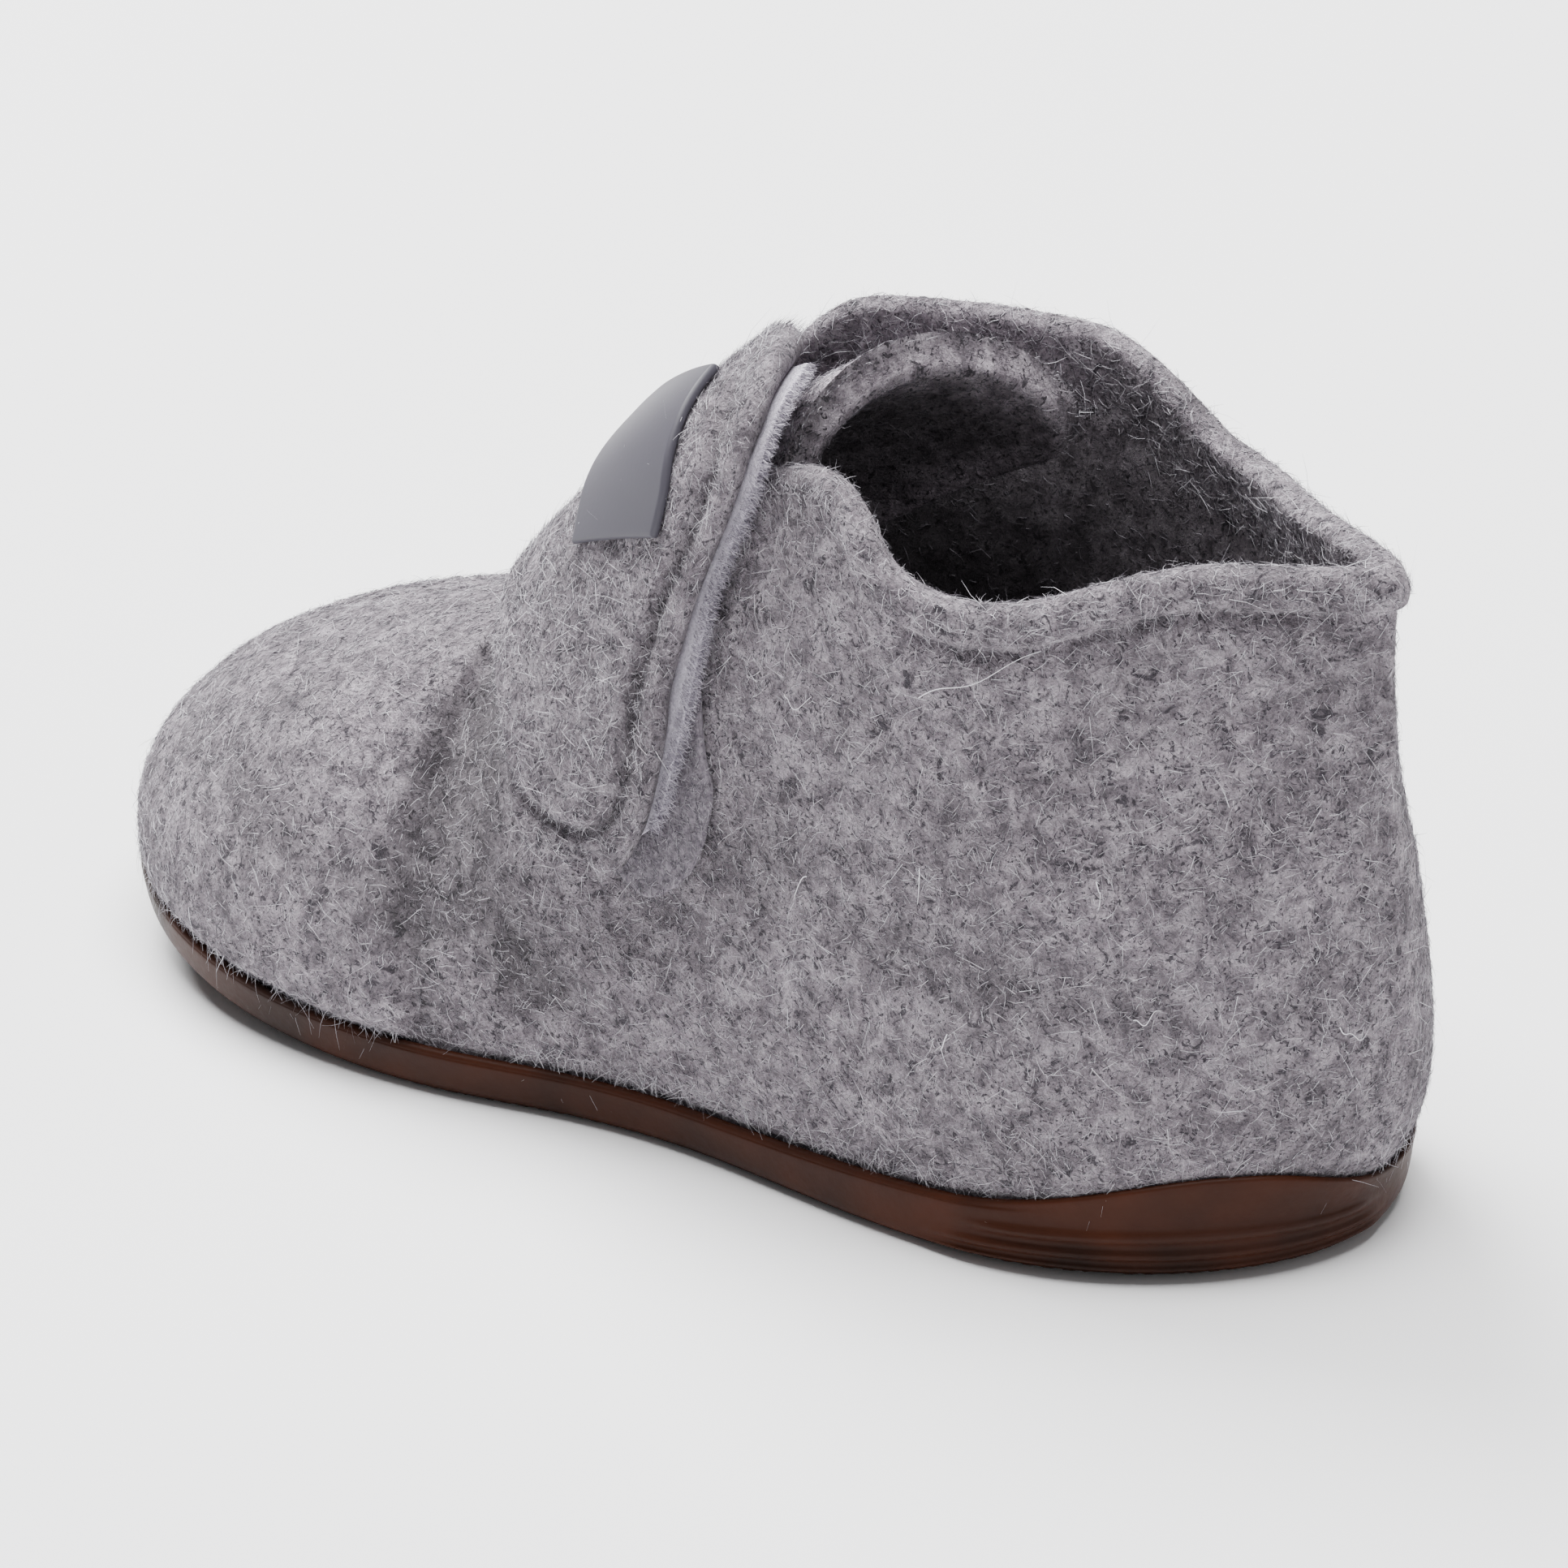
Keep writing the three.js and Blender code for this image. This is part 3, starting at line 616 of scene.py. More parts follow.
def finish_material(tree, shader):
    """Links the shader to the material's output."""
    node(tree, "OutputMaterial", {"Surface": shader.outputs["BSDF"]})


def noise(tree, place, size_mm, detail=2.0, rough=0.5, distortion=0.0):
    """Noise whose patches are about size_mm across."""
    made = node(tree, "TexNoise", {"Vector": place, "Scale": 1000 / size_mm, "Detail": detail,
                                   "Roughness": rough, "Distortion": distortion})
    return made.outputs["Fac"]


def blend_colour(tree, factor, a, b, kind="MIX"):
    """Colour a turned into b, or combined with it, by the factor; both may be sockets."""
    made = node(tree, "Mix", {0: factor}, data_type="RGBA", blend_type=kind)
    for socket, value in ((6, a), (7, b)):
        if isinstance(value, bpy.types.NodeSocket):
            tree.links.new(value, made.inputs[socket])
        else:
            made.inputs[socket].default_value = value
    return made.outputs[2]


def wool_felt(name, light, mid, dark, fleck):
    """Milled wool felt: light fibres matted with darker ones, so the colour is mottled at
    three sizes with short dark flecks, and the surface is dull with a soft nap. The shade
    attribute darkens the troughs and the inside, where little light reaches the fibres."""
    made, tree, place = start_material(name)
    broad = noise(tree, place, 10.0, 3.0, 0.6)
    patch = noise(tree, place, 2.3, 4.0, 0.7, 0.5)
    fibre = noise(tree, place, 0.40, 3.0, 0.7, 1.5)
    clumps = noise(tree, place, 1.5, 3.0, 0.65, 1.0)
    strands = noise(tree, place, 0.85, 2.0, 0.5, 2.2)
    base = ramp(tree, patch, [(0.36, dark), (0.48, mid), (0.62, light)])
    wide = ramp(tree, broad, [(0.34, grey(0.72)), (0.66, grey(1.10))])
    colour = blend_colour(tree, 1.0, base, wide, "MULTIPLY")
    fine = ramp(tree, fibre, [(0.34, grey(0.62)), (0.50, grey(1.0)), (0.66, grey(1.30))])
    colour = blend_colour(tree, 1.0, colour, fine, "MULTIPLY")
    blobs = ramp(tree, clumps, [(0.585, grey(0.0)), (0.66, grey(0.85))])
    colour = blend_colour(tree, blobs, colour, fleck)
    worms = ramp(tree, strands, [(0.60, grey(0.0)), (0.64, grey(0.8)), (0.70, grey(0.9))])
    colour = blend_colour(tree, worms, colour, fleck)
    # painted shade: the shade attribute blends the colour towards the dark painted shade colour
    shade = node(tree, "Attribute", attribute_name="shade").outputs["Fac"]
    colour = blend_colour(tree, shade, colour, linear(PAINTED_SHADE_COLOUR))
    coarse = node(tree, "Bump", {"Height": patch, "Strength": 0.8, "Distance": 0.0008})
    relief = node(tree, "Bump", {"Height": fibre, "Strength": 0.9, "Distance": 0.0006,
                                 "Normal": coarse.outputs["Normal"]})
    shader = node(tree, "BsdfPrincipled", {
        "Base Color": colour, "Roughness": 0.96, "Specular IOR Level": 0.12,
        "Sheen Weight": 0.12, "Sheen Roughness": 0.5, "Normal": relief.outputs["Normal"],
    })
    finish_material(tree, shader)
    return made


def loose_fibres(name, stops):
    """Loose wool fibres: each one has its own shade from the tone attribute, light or dark."""
    made, tree, _ = start_material(name)
    tone = node(tree, "Attribute", attribute_name="tone").outputs["Fac"]
    shader = node(tree, "BsdfPrincipled", {
        "Base Color": ramp(tree, tone, stops), "Roughness": 0.8, "Specular IOR Level": 0.25,
    })
    finish_material(tree, shader)
    return made


def moulded_rubber(name, low, high):
    """Moulded natural rubber, satin from the polished mould, with faint flow marks and dust."""
    made, tree, place = start_material(name)
    broad = noise(tree, place, 14.0, 2.0, 0.5)
    fine = noise(tree, place, 0.8, 3.0, 0.6)
    colour = ramp(tree, broad, [(0.35, low), (0.65, high)])
    rough = node(tree, "MapRange", {"Value": fine, "To Min": 0.42, "To Max": 0.60})
    bump = node(tree, "Bump", {"Height": fine, "Strength": 0.18, "Distance": 0.0002})
    shader = node(tree, "BsdfPrincipled", {
        "Base Color": colour, "Roughness": rough.outputs["Result"], "IOR": 1.52,
        "Specular IOR Level": 0.14, "Normal": bump.outputs["Normal"],
    })
    finish_material(tree, shader)
    return made


def woven_tape(name, colour, shade, size_mm):
    """Brushed nylon tape: a fine even nap over a tight weave, without the felt's flecks."""
    made, tree, place = start_material(name)
    nap = noise(tree, place, size_mm, 3.0, 0.7, 0.8)
    patch = noise(tree, place, 3.0, 2.0, 0.5)
    base = ramp(tree, nap, [(0.35, shade), (0.62, colour)])
    wide = ramp(tree, patch, [(0.35, grey(0.9)), (0.65, grey(1.06))])
    bump = node(tree, "Bump", {"Height": nap, "Strength": 0.5, "Distance": 0.0002})
    shader = node(tree, "BsdfPrincipled", {
        "Base Color": blend_colour(tree, 1.0, base, wide, "MULTIPLY"), "Roughness": 0.85,
        "Specular IOR Level": 0.15, "Sheen Weight": 0.1, "Normal": bump.outputs["Normal"],
    })
    finish_material(tree, shader)
    return made


def soft_vinyl(name, colour):
    """Moulded soft vinyl, smooth and satin, one even grey."""
    made, tree, place = start_material(name)
    fine = noise(tree, place, 0.5, 2.0, 0.5)
    bump = node(tree, "Bump", {"Height": fine, "Strength": 0.08, "Distance": 0.0001})
    shader = node(tree, "BsdfPrincipled", {
        "Base Color": colour, "Roughness": 0.48, "IOR": 1.5, "Specular IOR Level": 0.3,
        "Normal": bump.outputs["Normal"],
    })
    finish_material(tree, shader)
    return made


def studio_paper(name, colour):
    """Matt white paper sweep."""
    made, tree, _ = start_material(name)
    shader = node(tree, "BsdfPrincipled", {"Base Color": colour, "Roughness": 0.9,
                                           "Specular IOR Level": 0.2})
    finish_material(tree, shader)
    return made


# Upper

def relief(u, share, length):
    """Raised felt outside the wall: the vamp over the quarters and the rolled collar rim."""
    side = side_of(u)[:, None]
    height = share * length[:, None]
    from_top = length[:, None] - height
    seam = smooth(SEAM_ROW - SEAM_HALF, SEAM_ROW + SEAM_HALF, side)
    vamp = VAMP_STEP * seam * smooth(*VAMP_FOOT_RUN, height)
    collar = 1 - smooth(*COLLAR_END, side)
    rim = RIM_STEP * collar * (1 - smooth(RIM_BAND, RIM_BAND + SEAM_RUN, from_top))
    roll = np.sin(np.pi * np.clip(from_top / (RIM_BAND + ROLL_RUN), 0, 1))
    roll = roll - smooth(LIP_EASE, 0.0, from_top)
    rim = rim + ROLL_RISE * roll * mix(0.4, 1.0, collar)
    return vamp + rim


def upper_columns():
    """Values of u round the shoe: even ones, and closer ones at the two vamp seams."""
    even = np.linspace(0, ROWS, 361)[:-1]
    near = np.concatenate([s + np.linspace(-0.14, 0.14, 21) for s in (SEAM_ROW, ROWS - SEAM_ROW)])
    far = np.all([np.abs(even - s) > 0.15 for s in (SEAM_ROW, ROWS - SEAM_ROW)], axis=0)
    return np.sort(np.concatenate([even[far], near]))


def inner_points(u, share, depth):
    """Inner face of the wall; near the heel seam the columns start where the sides meet."""
    def inset(at, shares):
        return wall_points(at, shares) - wall_normals(at, shares) * depth
    points = inset(u, share)
    side = side_of(u)
    close = side < HEEL_BLEND
    one = share[0]
    for hand in (1, -1):
        low = np.zeros(len(one))
        high = np.full(len(one), HEEL_BLEND)
        for _ in range(18):
            mid = (low + high) / 2
            over = inset(hand * mid, one[:, None])[:, 0, 1] * hand > 0
            high = np.where(over, mid, high)
            low = np.where(over, low, mid)
        pick = np.where(close & ((wrap(u) <= TOE_ROW) == (hand == 1)))[0]
        at = hand * (high[None, :] + side[pick][:, None] * (HEEL_BLEND - high)[None, :] / HEEL_BLEND)
        shares = np.broadcast_to(one, at.shape)
        points[pick] = inset(at.ravel(), shares.reshape(-1, 1)).reshape(at.shape + (3,))
    points[side < 1e-6, :, 1] = 0
    return points


# lines of the folds: points (row round the foot, mm), half width, depth (outwards positive)
RIM_FOLDS = [
    # under the rolled collar, measured down from the top edge
    ([(0.5, 3.0), (1.6, 3.2), (2.7, 3.2)], 0.7, -0.3),
    ([(15.3, 3.2), (16.5, 3.2), (17.5, 3.0)], 0.7, -0.3),
    # a thin crease lower down at the outer heel, and the swell over it
    ([(0.5, 10.0), (1.2, 13.8), (1.9, 15.6)], 0.75, -0.38),
    ([(0.6, 6.6), (1.5, 7.6), (2.4, 7.2)], 2.4, 0.25),
]
FOOT_FOLDS = [
    # vamp seams, measured up from the foot: a soft trough behind the raised edge
    ([(5.9, 2.0), (5.9, 14.0)], 0.9, -0.7),
    ([(5.86, 14.0), (5.84, 30.0), (5.8, 44.0)], 2.2, -1.0),
    ([(12.1, 2.0), (12.1, 14.0)], 0.9, -0.7),
    ([(12.14, 14.0), (12.16, 30.0), (12.2, 44.0)], 2.2, -1.0),
    # the soft bend of the outer quarter
    ([(3.6, 32.0), (4.1, 22.0), (4.9, 12.0)], 4.0, -0.5),
    # the hollow between the strap's front edge and the vamp; its trough's shade is the strap's painted
    # shadow
    ([(5.66, 35.0), (5.52, 24.0), (5.36, 15.0), (5.1, 9.0)], 2.4, -0.8),
    # swells and hollows of the outer side, the inner side and the toe box
    ([(5.1, 10.0), (4.6, 16.0)], 3.0, 0.4),
    ([(1.2, 9.0), (2.2, 9.0), (3.4, 10.0)], 4.5, 0.6),
    ([(1.4, 22.0), (2.6, 24.0)], 4.0, -0.5),
    ([(14.4, 26.0), (14.0, 13.0)], 4.0, -0.6),
    ([(15.6, 34.0), (16.5, 30.0)], 4.5, -0.5),
    ([(6.5, 16.0), (7.4, 19.0), (8.2, 17.0)], 3.5, -0.5),
    ([(6.6, 26.0), (7.6, 30.0)], 5.0, 0.4),
]
ROW_MM = 8.0


def near_line(at, height, line):
    """Distance in mm to a line of (row, mm) points, a row being about ROW_MM long."""
    best = np.full(height.shape, 1e9)
    for (ua, ha), (ub, hb) in zip(line[:-1], line[1:]):
        px, py = (at - ua) * ROW_MM, height - ha
        qx, qy = (ub - ua) * ROW_MM, hb - ha
        t = np.clip((px * qx + py * qy) / (qx * qx + qy * qy), 0, 1)
        best = np.minimum(best, np.hypot(px - t * qx, py - t * qy))
    return best


def folds(u, share, length):
    """The folds that the standing shoe holds, in mm outwards: each falls off as a bell from its
    line. The second result is the painted shade in the troughs, how much darker they are coloured."""
    at = np.broadcast_to(wrap(u)[:, None], share.shape)
    height = share * length[:, None]
    total, shade = np.zeros(share.shape), np.zeros(share.shape)
    for lines, measure in ((RIM_FOLDS, length[:, None] - height), (FOOT_FOLDS, height)):
        for line, width, depth in lines:
            bell = np.exp(-(near_line(at, measure, line) / width) ** 2)
            total += depth * bell
            # painted shade: each trough darkens the felt by its depth
            shade += max(0, -depth) * bell
    seam = np.exp(-(side_of(u)[:, None] / HEEL_SEAM_HALF) ** 2) * smooth(6, 14, height)
    return total + HEEL_SEAM_RISE * seam, shade


def felt_relief(points, bumps):
    """Uneven milling of the felt in mm: lumps of three sizes added up, times bumps."""
    total = 0
    for height, size, seed in FELT_LUMPS:
        total = total + height * lumps(points, size, seed)
    return total * bumps


def upper_surface(bumps):
    """Rings of the whole shell: outer face up, the lip's half round, inner face down. The outer
    face is the wall plus relief, folds and felt lumps along its normals; the inner face is the
    wall moved in by the felt's thickness. The last result is the painted shade of every point."""
    u = upper_columns()
    curves = wall_curves(u)
    length = curve_length(curves)
    # closer steps over about the top 6.5 mm of a wall some 60 mm long
    shares = np.unique(np.concatenate([np.linspace(0, 1, 88), 1 - np.linspace(0, 6.5, 22) / 60]))
    share = np.broadcast_to(shares, (len(u), len(shares)))
    outer = wall_points(u, share)
    normal = wall_normals(u, share)
    fold, shade = folds(u, share, length)
    lift = relief(u, share, length) + fold * smooth(0, 0.06, share)
    lift += felt_relief(outer, bumps) * smooth(0.0, 0.05, share)
    outer = outer + normal * lift[..., None]
    shares_in = np.linspace(1, 0, 48)
    share_in = np.broadcast_to(shares_in, (len(u), len(shares_in)))
    inner = inner_points(u, share_in, FELT)
    # the inner face takes its lumps 40 mm away, so that they differ from the outer ones
    inner_normal = -grid_normals(inner)
    flip = np.sign((inner_normal * -wall_normals(u, share_in)).sum(-1, keepdims=True))
    lumpy = felt_relief(inner + 40, bumps) * smooth(0, 0.1, share_in)
    inner = inner + inner_normal * flip * lumpy[..., None]
    top = outer[:, -1]
    edge = inner[:, 0]
    ends = wall_points(u, np.broadcast_to([LIP_BELOW, 1.0], (len(u), 2)))
    rise = unit(ends[:, 1] - ends[:, 0])
    turn = np.linspace(0, np.pi, 10)[1:-1][None, :, None]
    lip = (top + edge)[:, None] / 2 + (top - edge)[:, None] / 2 * np.cos(turn)
    lip = lip + rise[:, None] * LIP * np.sin(turn)
    # painted shade: the troughs keep part of their fold shade, the lip none, and the inner face darkens
    # further down from its top edge, more so towards the front
    below = (1 - share_in) * length[:, None]
    front = smooth(2.0, 5.0, side_of(u))[:, None]
    inside = mix(0.34 * smooth(0, 16, below) + 0.46 * smooth(14, 40, below),
                 0.60 * smooth(0, 9, below) + 0.22 * smooth(9, 26, below), front)
    shades = np.concatenate([0.55 * np.clip(shade, 0, 1), np.zeros(lip.shape[:2]), inside], axis=1)
    return outer, normal, lip, inner, shades


# outer faces and their normals of the finished pieces, from which the loose fibres grow
GRIDS = {}


def felt_shades(colours):
    """The four settings of the felt's colour, from light to fleck."""
    return [colours[name] for name in ("light", "mid", "dark", "fleck")]


def add_upper(sizes, colours):
    """Upper: one closed shell of felt from its outer face over the lip to its inner face."""
    outer, normal, lip, inner, shades = upper_surface(sizes["bumps"])
    points = np.concatenate([outer, lip, inner], axis=1)
    n, m = points.shape[:2]
    felt = wool_felt("milled_wool_felt", *felt_shades(colours))
    make_piece("felt_upper", points, [grid_faces(n, m, close_j=True)], felt, ["upper"], "upper",
               shade=shades)
    GRIDS["outer"] = (outer, normal)
    rim = np.concatenate([outer[:, -8:], lip, inner[:, :6]], axis=1)
    GRIDS["lip"] = (rim, -grid_normals(rim))
    GRIDS["inner"] = (inner[:, :22], -grid_normals(inner[:, :22]))


# Sole

def tread_level(x, side):
    """Underside of the tread: a raised arch, and grooves across at set rows."""
    arch = smooth(*ARCH[:2], x) * (1 - smooth(*ARCH[2:], x))
    near = np.min([np.abs(side - g) for g in TREAD_GROOVES], axis=0)
    groove = np.clip(1 - near / GROOVE_HALF, 0, 1)
    return spring_at(x) + ARCH_RISE * arch + GROOVE_DEPTH * groove


def side_curve(lines, k):
    """The line at share k of a smooth curve through four lines: a cubic between each two, its
    slope at a line being half the way from the line before it to the line after it."""
    seat = np.clip(np.searchsorted(SIDE_KNOTS, k) - 1, 0, 2)
    t = (k - SIDE_KNOTS[seat]) / (SIDE_KNOTS[seat + 1] - SIDE_KNOTS[seat])
    before, after = max(seat - 1, 0), min(seat + 2, 3)
    a, b = lines[seat], lines[seat + 1]
    slope_a = (b - lines[before]) / (1 if before == seat else 2)
    slope_b = (lines[after] - a) / (1 if after == seat + 1 else 2)
    return a + t * slope_a + t * t * (3 * (b - a) - 2 * slope_a - slope_b) \
        + t**3 * (slope_a + slope_b - 2 * (b - a))


def sole_profile(u):
    """Rings of the outsole as (u, ring, 3): out from the tread's edge, up one bulging curve to
    the rim, over the rim's half round and down its inner side to the bed. Low rings are the
    felt's foot line moved outwards, high ones lie over the felt's wall, and heel ribs stand out
    from the side as narrow bells."""
    side = side_of(u)
    heel = 1 - smooth(*HEEL_RUN, side)
    rim = CUP_GAP + SOLE_RIM
    length = curve_length(wall_curves(u))
    reach_up = rim_height(u)
    foot = wall_points(u, np.zeros((len(u), 1)))[:, 0]
    out = wall_normals(u, np.zeros((len(u), 1)))[:, 0]

    def by_place(front, back):
        return mix(front, back, heel)

    def edge(reach, level):
        p = foot + out * reach[:, None]
        p[:, 2] = level(p[:, 0])
        return p

    def face(k, lift):
        share = (reach_up * k / length)[:, None]
        return (wall_points(u, share) + wall_normals(u, share) * lift[:, None, None])[:, 0]
    run = np.linalg.norm(np.diff(foot[:, :2], axis=0), axis=1)
    phase = np.concatenate([[0], np.cumsum(run)])
    notch = np.maximum(0, np.sin(phase * 2 * np.pi / NOTCH_PITCH)) ** 2 * NOTCH_DEPTH
    rings = [
        edge(by_place(*TREAD_REACH), lambda x: tread_level(x, side)),
        edge(by_place(*BEVEL_REACH) - notch, lambda x: tread_level(x, side) + 0.05),
        edge(by_place(*EDGE_REACH) - notch,
             lambda x: mix(spring_at(x), tread_level(x, side), 0.6) + by_place(*EDGE_RISE)),
    ]
    lines = np.stack([
        edge(by_place(*LOW_REACH), lambda x: spring_at(x) + by_place(*LOW_RISE)),
        edge(by_place(*WAIST_REACH), lambda x: spring_at(x) + by_place(*WAIST_RISE)),
        face(0.35, by_place(rim, rim * 1.02)),
        face(0.9, by_place(rim * 0.85, rim * 0.72)),
    ])
    around = smooth(0.1, 0.9, side_of(u - RIM_DIP)) * heel
    for k in np.linspace(0, 1, 41):
        rib = 0
        for centre, ends in HEEL_RIBS:
            taper = smooth(ends, ends + 0.5, around)
            rib = rib + np.exp(-((k - centre) / RIB_HALF) ** 2) * taper
        rings.append(side_curve(lines, k) + out * (RIB_RISE * rib - by_place(0.0, 0.1))[:, None])
    gap = np.full(len(u), CUP_GAP)
    top = face(1.0, by_place(rim * 0.8, CUP_GAP + RIM_LIP))
    inside = face(1.0, gap)
    rise = np.array([0, 0, 1.0])
    for turn in np.linspace(0, np.pi, 7):
        rings.append((top + inside) / 2 + (top - inside) / 2 * np.cos(turn) + rise * 0.3 * np.sin(turn))
    rings += [face(0.5, gap), edge(gap, bed_level)]
    return np.stack(rings, axis=1)


def sole_floor(grid, ring, level, side, across, start):
    """Closes a ring of the sole: straight lines from its outer half to its inner half, each in
    even steps, at the heights that level gives. Its new points are numbered from start."""
    n, m = grid.shape[:2]
    half = n // 2
    t = np.linspace(0, 1, across + 1)[1:-1][None, :, None]
    fill = grid[1:half, ring][:, None] * (1 - t) + grid[::-1][: half - 1, ring][:, None] * t
    fill[..., 2] = level(fill[..., 0], side[1:half][:, None])
    row = np.arange(1, half)[:, None]
    inner_ids = start + np.arange((half - 1) * (across - 1)).reshape(half - 1, across - 1)
    ids = np.concatenate([row * m + ring, inner_ids, (n - row) * m + ring], axis=1)
    heel, toe = np.full(across, ring), np.full(across, half * m + ring)
    first = np.stack([heel, ids[0, :-1], ids[0, 1:]], -1)
    last = np.stack([ids[-1, :-1], toe, ids[-1, 1:]], -1)
    return fill.reshape(-1, 3), [cells(ids), first, last]


def add_outsole(sizes, colours):
    """Outsole: its profile carried round the foot, closed by the tread below and the bed above."""
    u = np.linspace(0, ROWS, 541)[:-1]
    side = side_of(u)
    grid = sole_profile(u)
    n, m = grid.shape[:2]
    tread, tread_faces = sole_floor(grid, 0, tread_level, side, 24, n * m)
    bed, bed_faces = sole_floor(grid, m - 1, lambda x, s: bed_level(x), side, 6, n * m + len(tread))
    faces = [grid_faces(n, m)] + tread_faces + [f[..., ::-1] for f in bed_faces]
    rubber = moulded_rubber("moulded_rubber", colours["rubber_low"], colours["rubber_high"])
    make_piece("rubber_outsole", np.concatenate([grid.reshape(-1, 3), tread, bed]), faces, rubber,
               ["outsole"], "outsole")


def add_insole(sizes, colours):
    """Insole: a flat felt plate between mirrored columns of the inner wall's foot."""
    u = np.linspace(0.02, TOE_ROW - 0.02, 110)
    share = np.zeros((len(u), 1))
    near = inner_points(u, share, FELT + GAP)[:, 0]
    far = inner_points(ROWS - u, share, FELT + GAP)[:, 0]
    t = plate_steps(40, 45, INSOLE_EDGE)
    top = near[:, None] * (1 - t)[None, :, None] + far[:, None] * t[None, :, None]
    top[..., 2] = foot_level(top[..., 0])
    edges = np.minimum.reduce(edge_distance(top))
    body = rounded(edges, INSOLE_EDGE) * INSOLE_THICK / 2
    middle = top + np.array([0, 0, INSOLE_THICK / 2])
    rise = np.array([0, 0, 1.0])
    bumps = 0.12 * lumps(top, 3.0, 11) * smooth(0, 2, edges)
    felt = wool_felt("insole_felt", *(linear(code) for code in INSOLE_GREYS))
    add_plate("felt_insole", middle + rise * (body + bumps)[..., None],
              middle - rise * body[..., None], felt, "insole")


# Tongue and strap

def tongue_points(i, j):
    """Outer face of the tongue: an arch across, swept from under the vamp to its top edge."""
    last = len(TONGUE_ROWS) - 1
    w = np.clip(i * (1 - TONGUE_ROUND * (1 - 2 * j) ** 6), 0, 1) * last
    n = np.minimum(np.floor(w).astype(int), last - 1)
    k = (w - n)[..., None]
    p = [TONGUE_ROWS[np.clip(n + d, 0, last)] for d in (-1, 0, 1, 2)]
    slope, after, gain = (p[2] - p[0]) / 2, (p[3] - p[1]) / 2, p[2] - p[1]
    at = p[1] + k * slope + k**2 * (3 * gain - 2 * slope - after) + k**3 * (slope + after - 2 * gain)
    turn = (1 - 2 * j) * TONGUE_ARC
    fall = (1 - np.cos(turn)) / (1 - np.cos(TONGUE_ARC))
    side = np.sin(turn) / np.sin(TONGUE_ARC)
    return np.stack([at[..., 0] - at[..., 3] * fall + at[..., 4] * side,
                     TONGUE_Y + at[..., 2] * side,
                     at[..., 1] - at[..., 5] * fall + TONGUE_RAISED * smooth(0.6, 1.0, i)], -1)


def add_tongue(sizes, colours):
    """Tongue: a thick felt plate offset inwards from its outer face, with round edges."""
    i, j = np.meshgrid(plate_steps(130, 78, TONGUE_EDGE), plate_steps(96, 38, TONGUE_EDGE),
                       indexing="ij")
    outer = tongue_points(i, j)
    normal = grid_normals(tongue_points(np.clip(i, 0.01, 0.99), np.clip(j, 0.01, 0.99)))
    normal *= np.sign(normal[i.shape[0] // 2, i.shape[1] // 2, 2])
    half = TONGUE_THICK / 2
    edges = np.minimum.reduce(edge_distance(outer))
    middle = outer - normal * half
    bumps, fade = sizes["bumps"], smooth(0, 2, edges)
    above = rounded(edges, TONGUE_BROW) * half + felt_relief(outer, bumps) * fade
    below = rounded(edges, TONGUE_EDGE) * (half + TONGUE_LINING) + felt_relief(outer + 30, bumps) * fade
    top = middle + normal * above[..., None]
    bottom = middle - normal * below[..., None]
    # painted shade on the tongue's inside, darker away from its edges
    painted_shade_inside = 0.62 * smooth(2.5, 8.0, edges)[1:-1, 1:-1]
    shades = np.concatenate([np.zeros(edges.size), painted_shade_inside.ravel()])
    *wool, fleck = felt_shades(colours)
    # painted light: the tongue's felt is a paler copy of the felt colours
    painted_light_wool = [tuple(v * TONGUE_PAINTED_LIGHT for v in shade[:3]) + (1.0,) for shade in wool]
    felt = wool_felt("tongue_felt", *painted_light_wool, fleck)
    add_plate("felt_tongue", top, bottom, felt, "tongue", shade=shades)
    GRIDS["tongue_top"] = (top[TONGUE_SHOWS:], normal[TONGUE_SHOWS:])
    GRIDS["tongue_inside"] = (bottom[TONGUE_SHOWS:], -normal[TONGUE_SHOWS:])


def strap_underside(c):
    """Height of the strap's underside over the wall at c, from its table."""
    return table_curve(STRAP_ROWS, c)[..., 2]


def strap_uc(i, j):
    """Row and distance across for the strap: it starts at the inner edge of the throat."""
    table = table_curve(STRAP_ROWS, mix(STRAP_ROWS[0, 0], STRAP_TIP, i))
    u0 = mix(table[..., 0], table[..., 1], j)
    half = np.interp(u0, ACROSS_U, ACROSS_HALF)
    root = -half + LIP + 2 * GAP
    c = mix(root, STRAP_TIP, i)
    table = table_curve(STRAP_ROWS, c)
    return mix(table[..., 0], table[..., 1], j), c, table[..., 2]


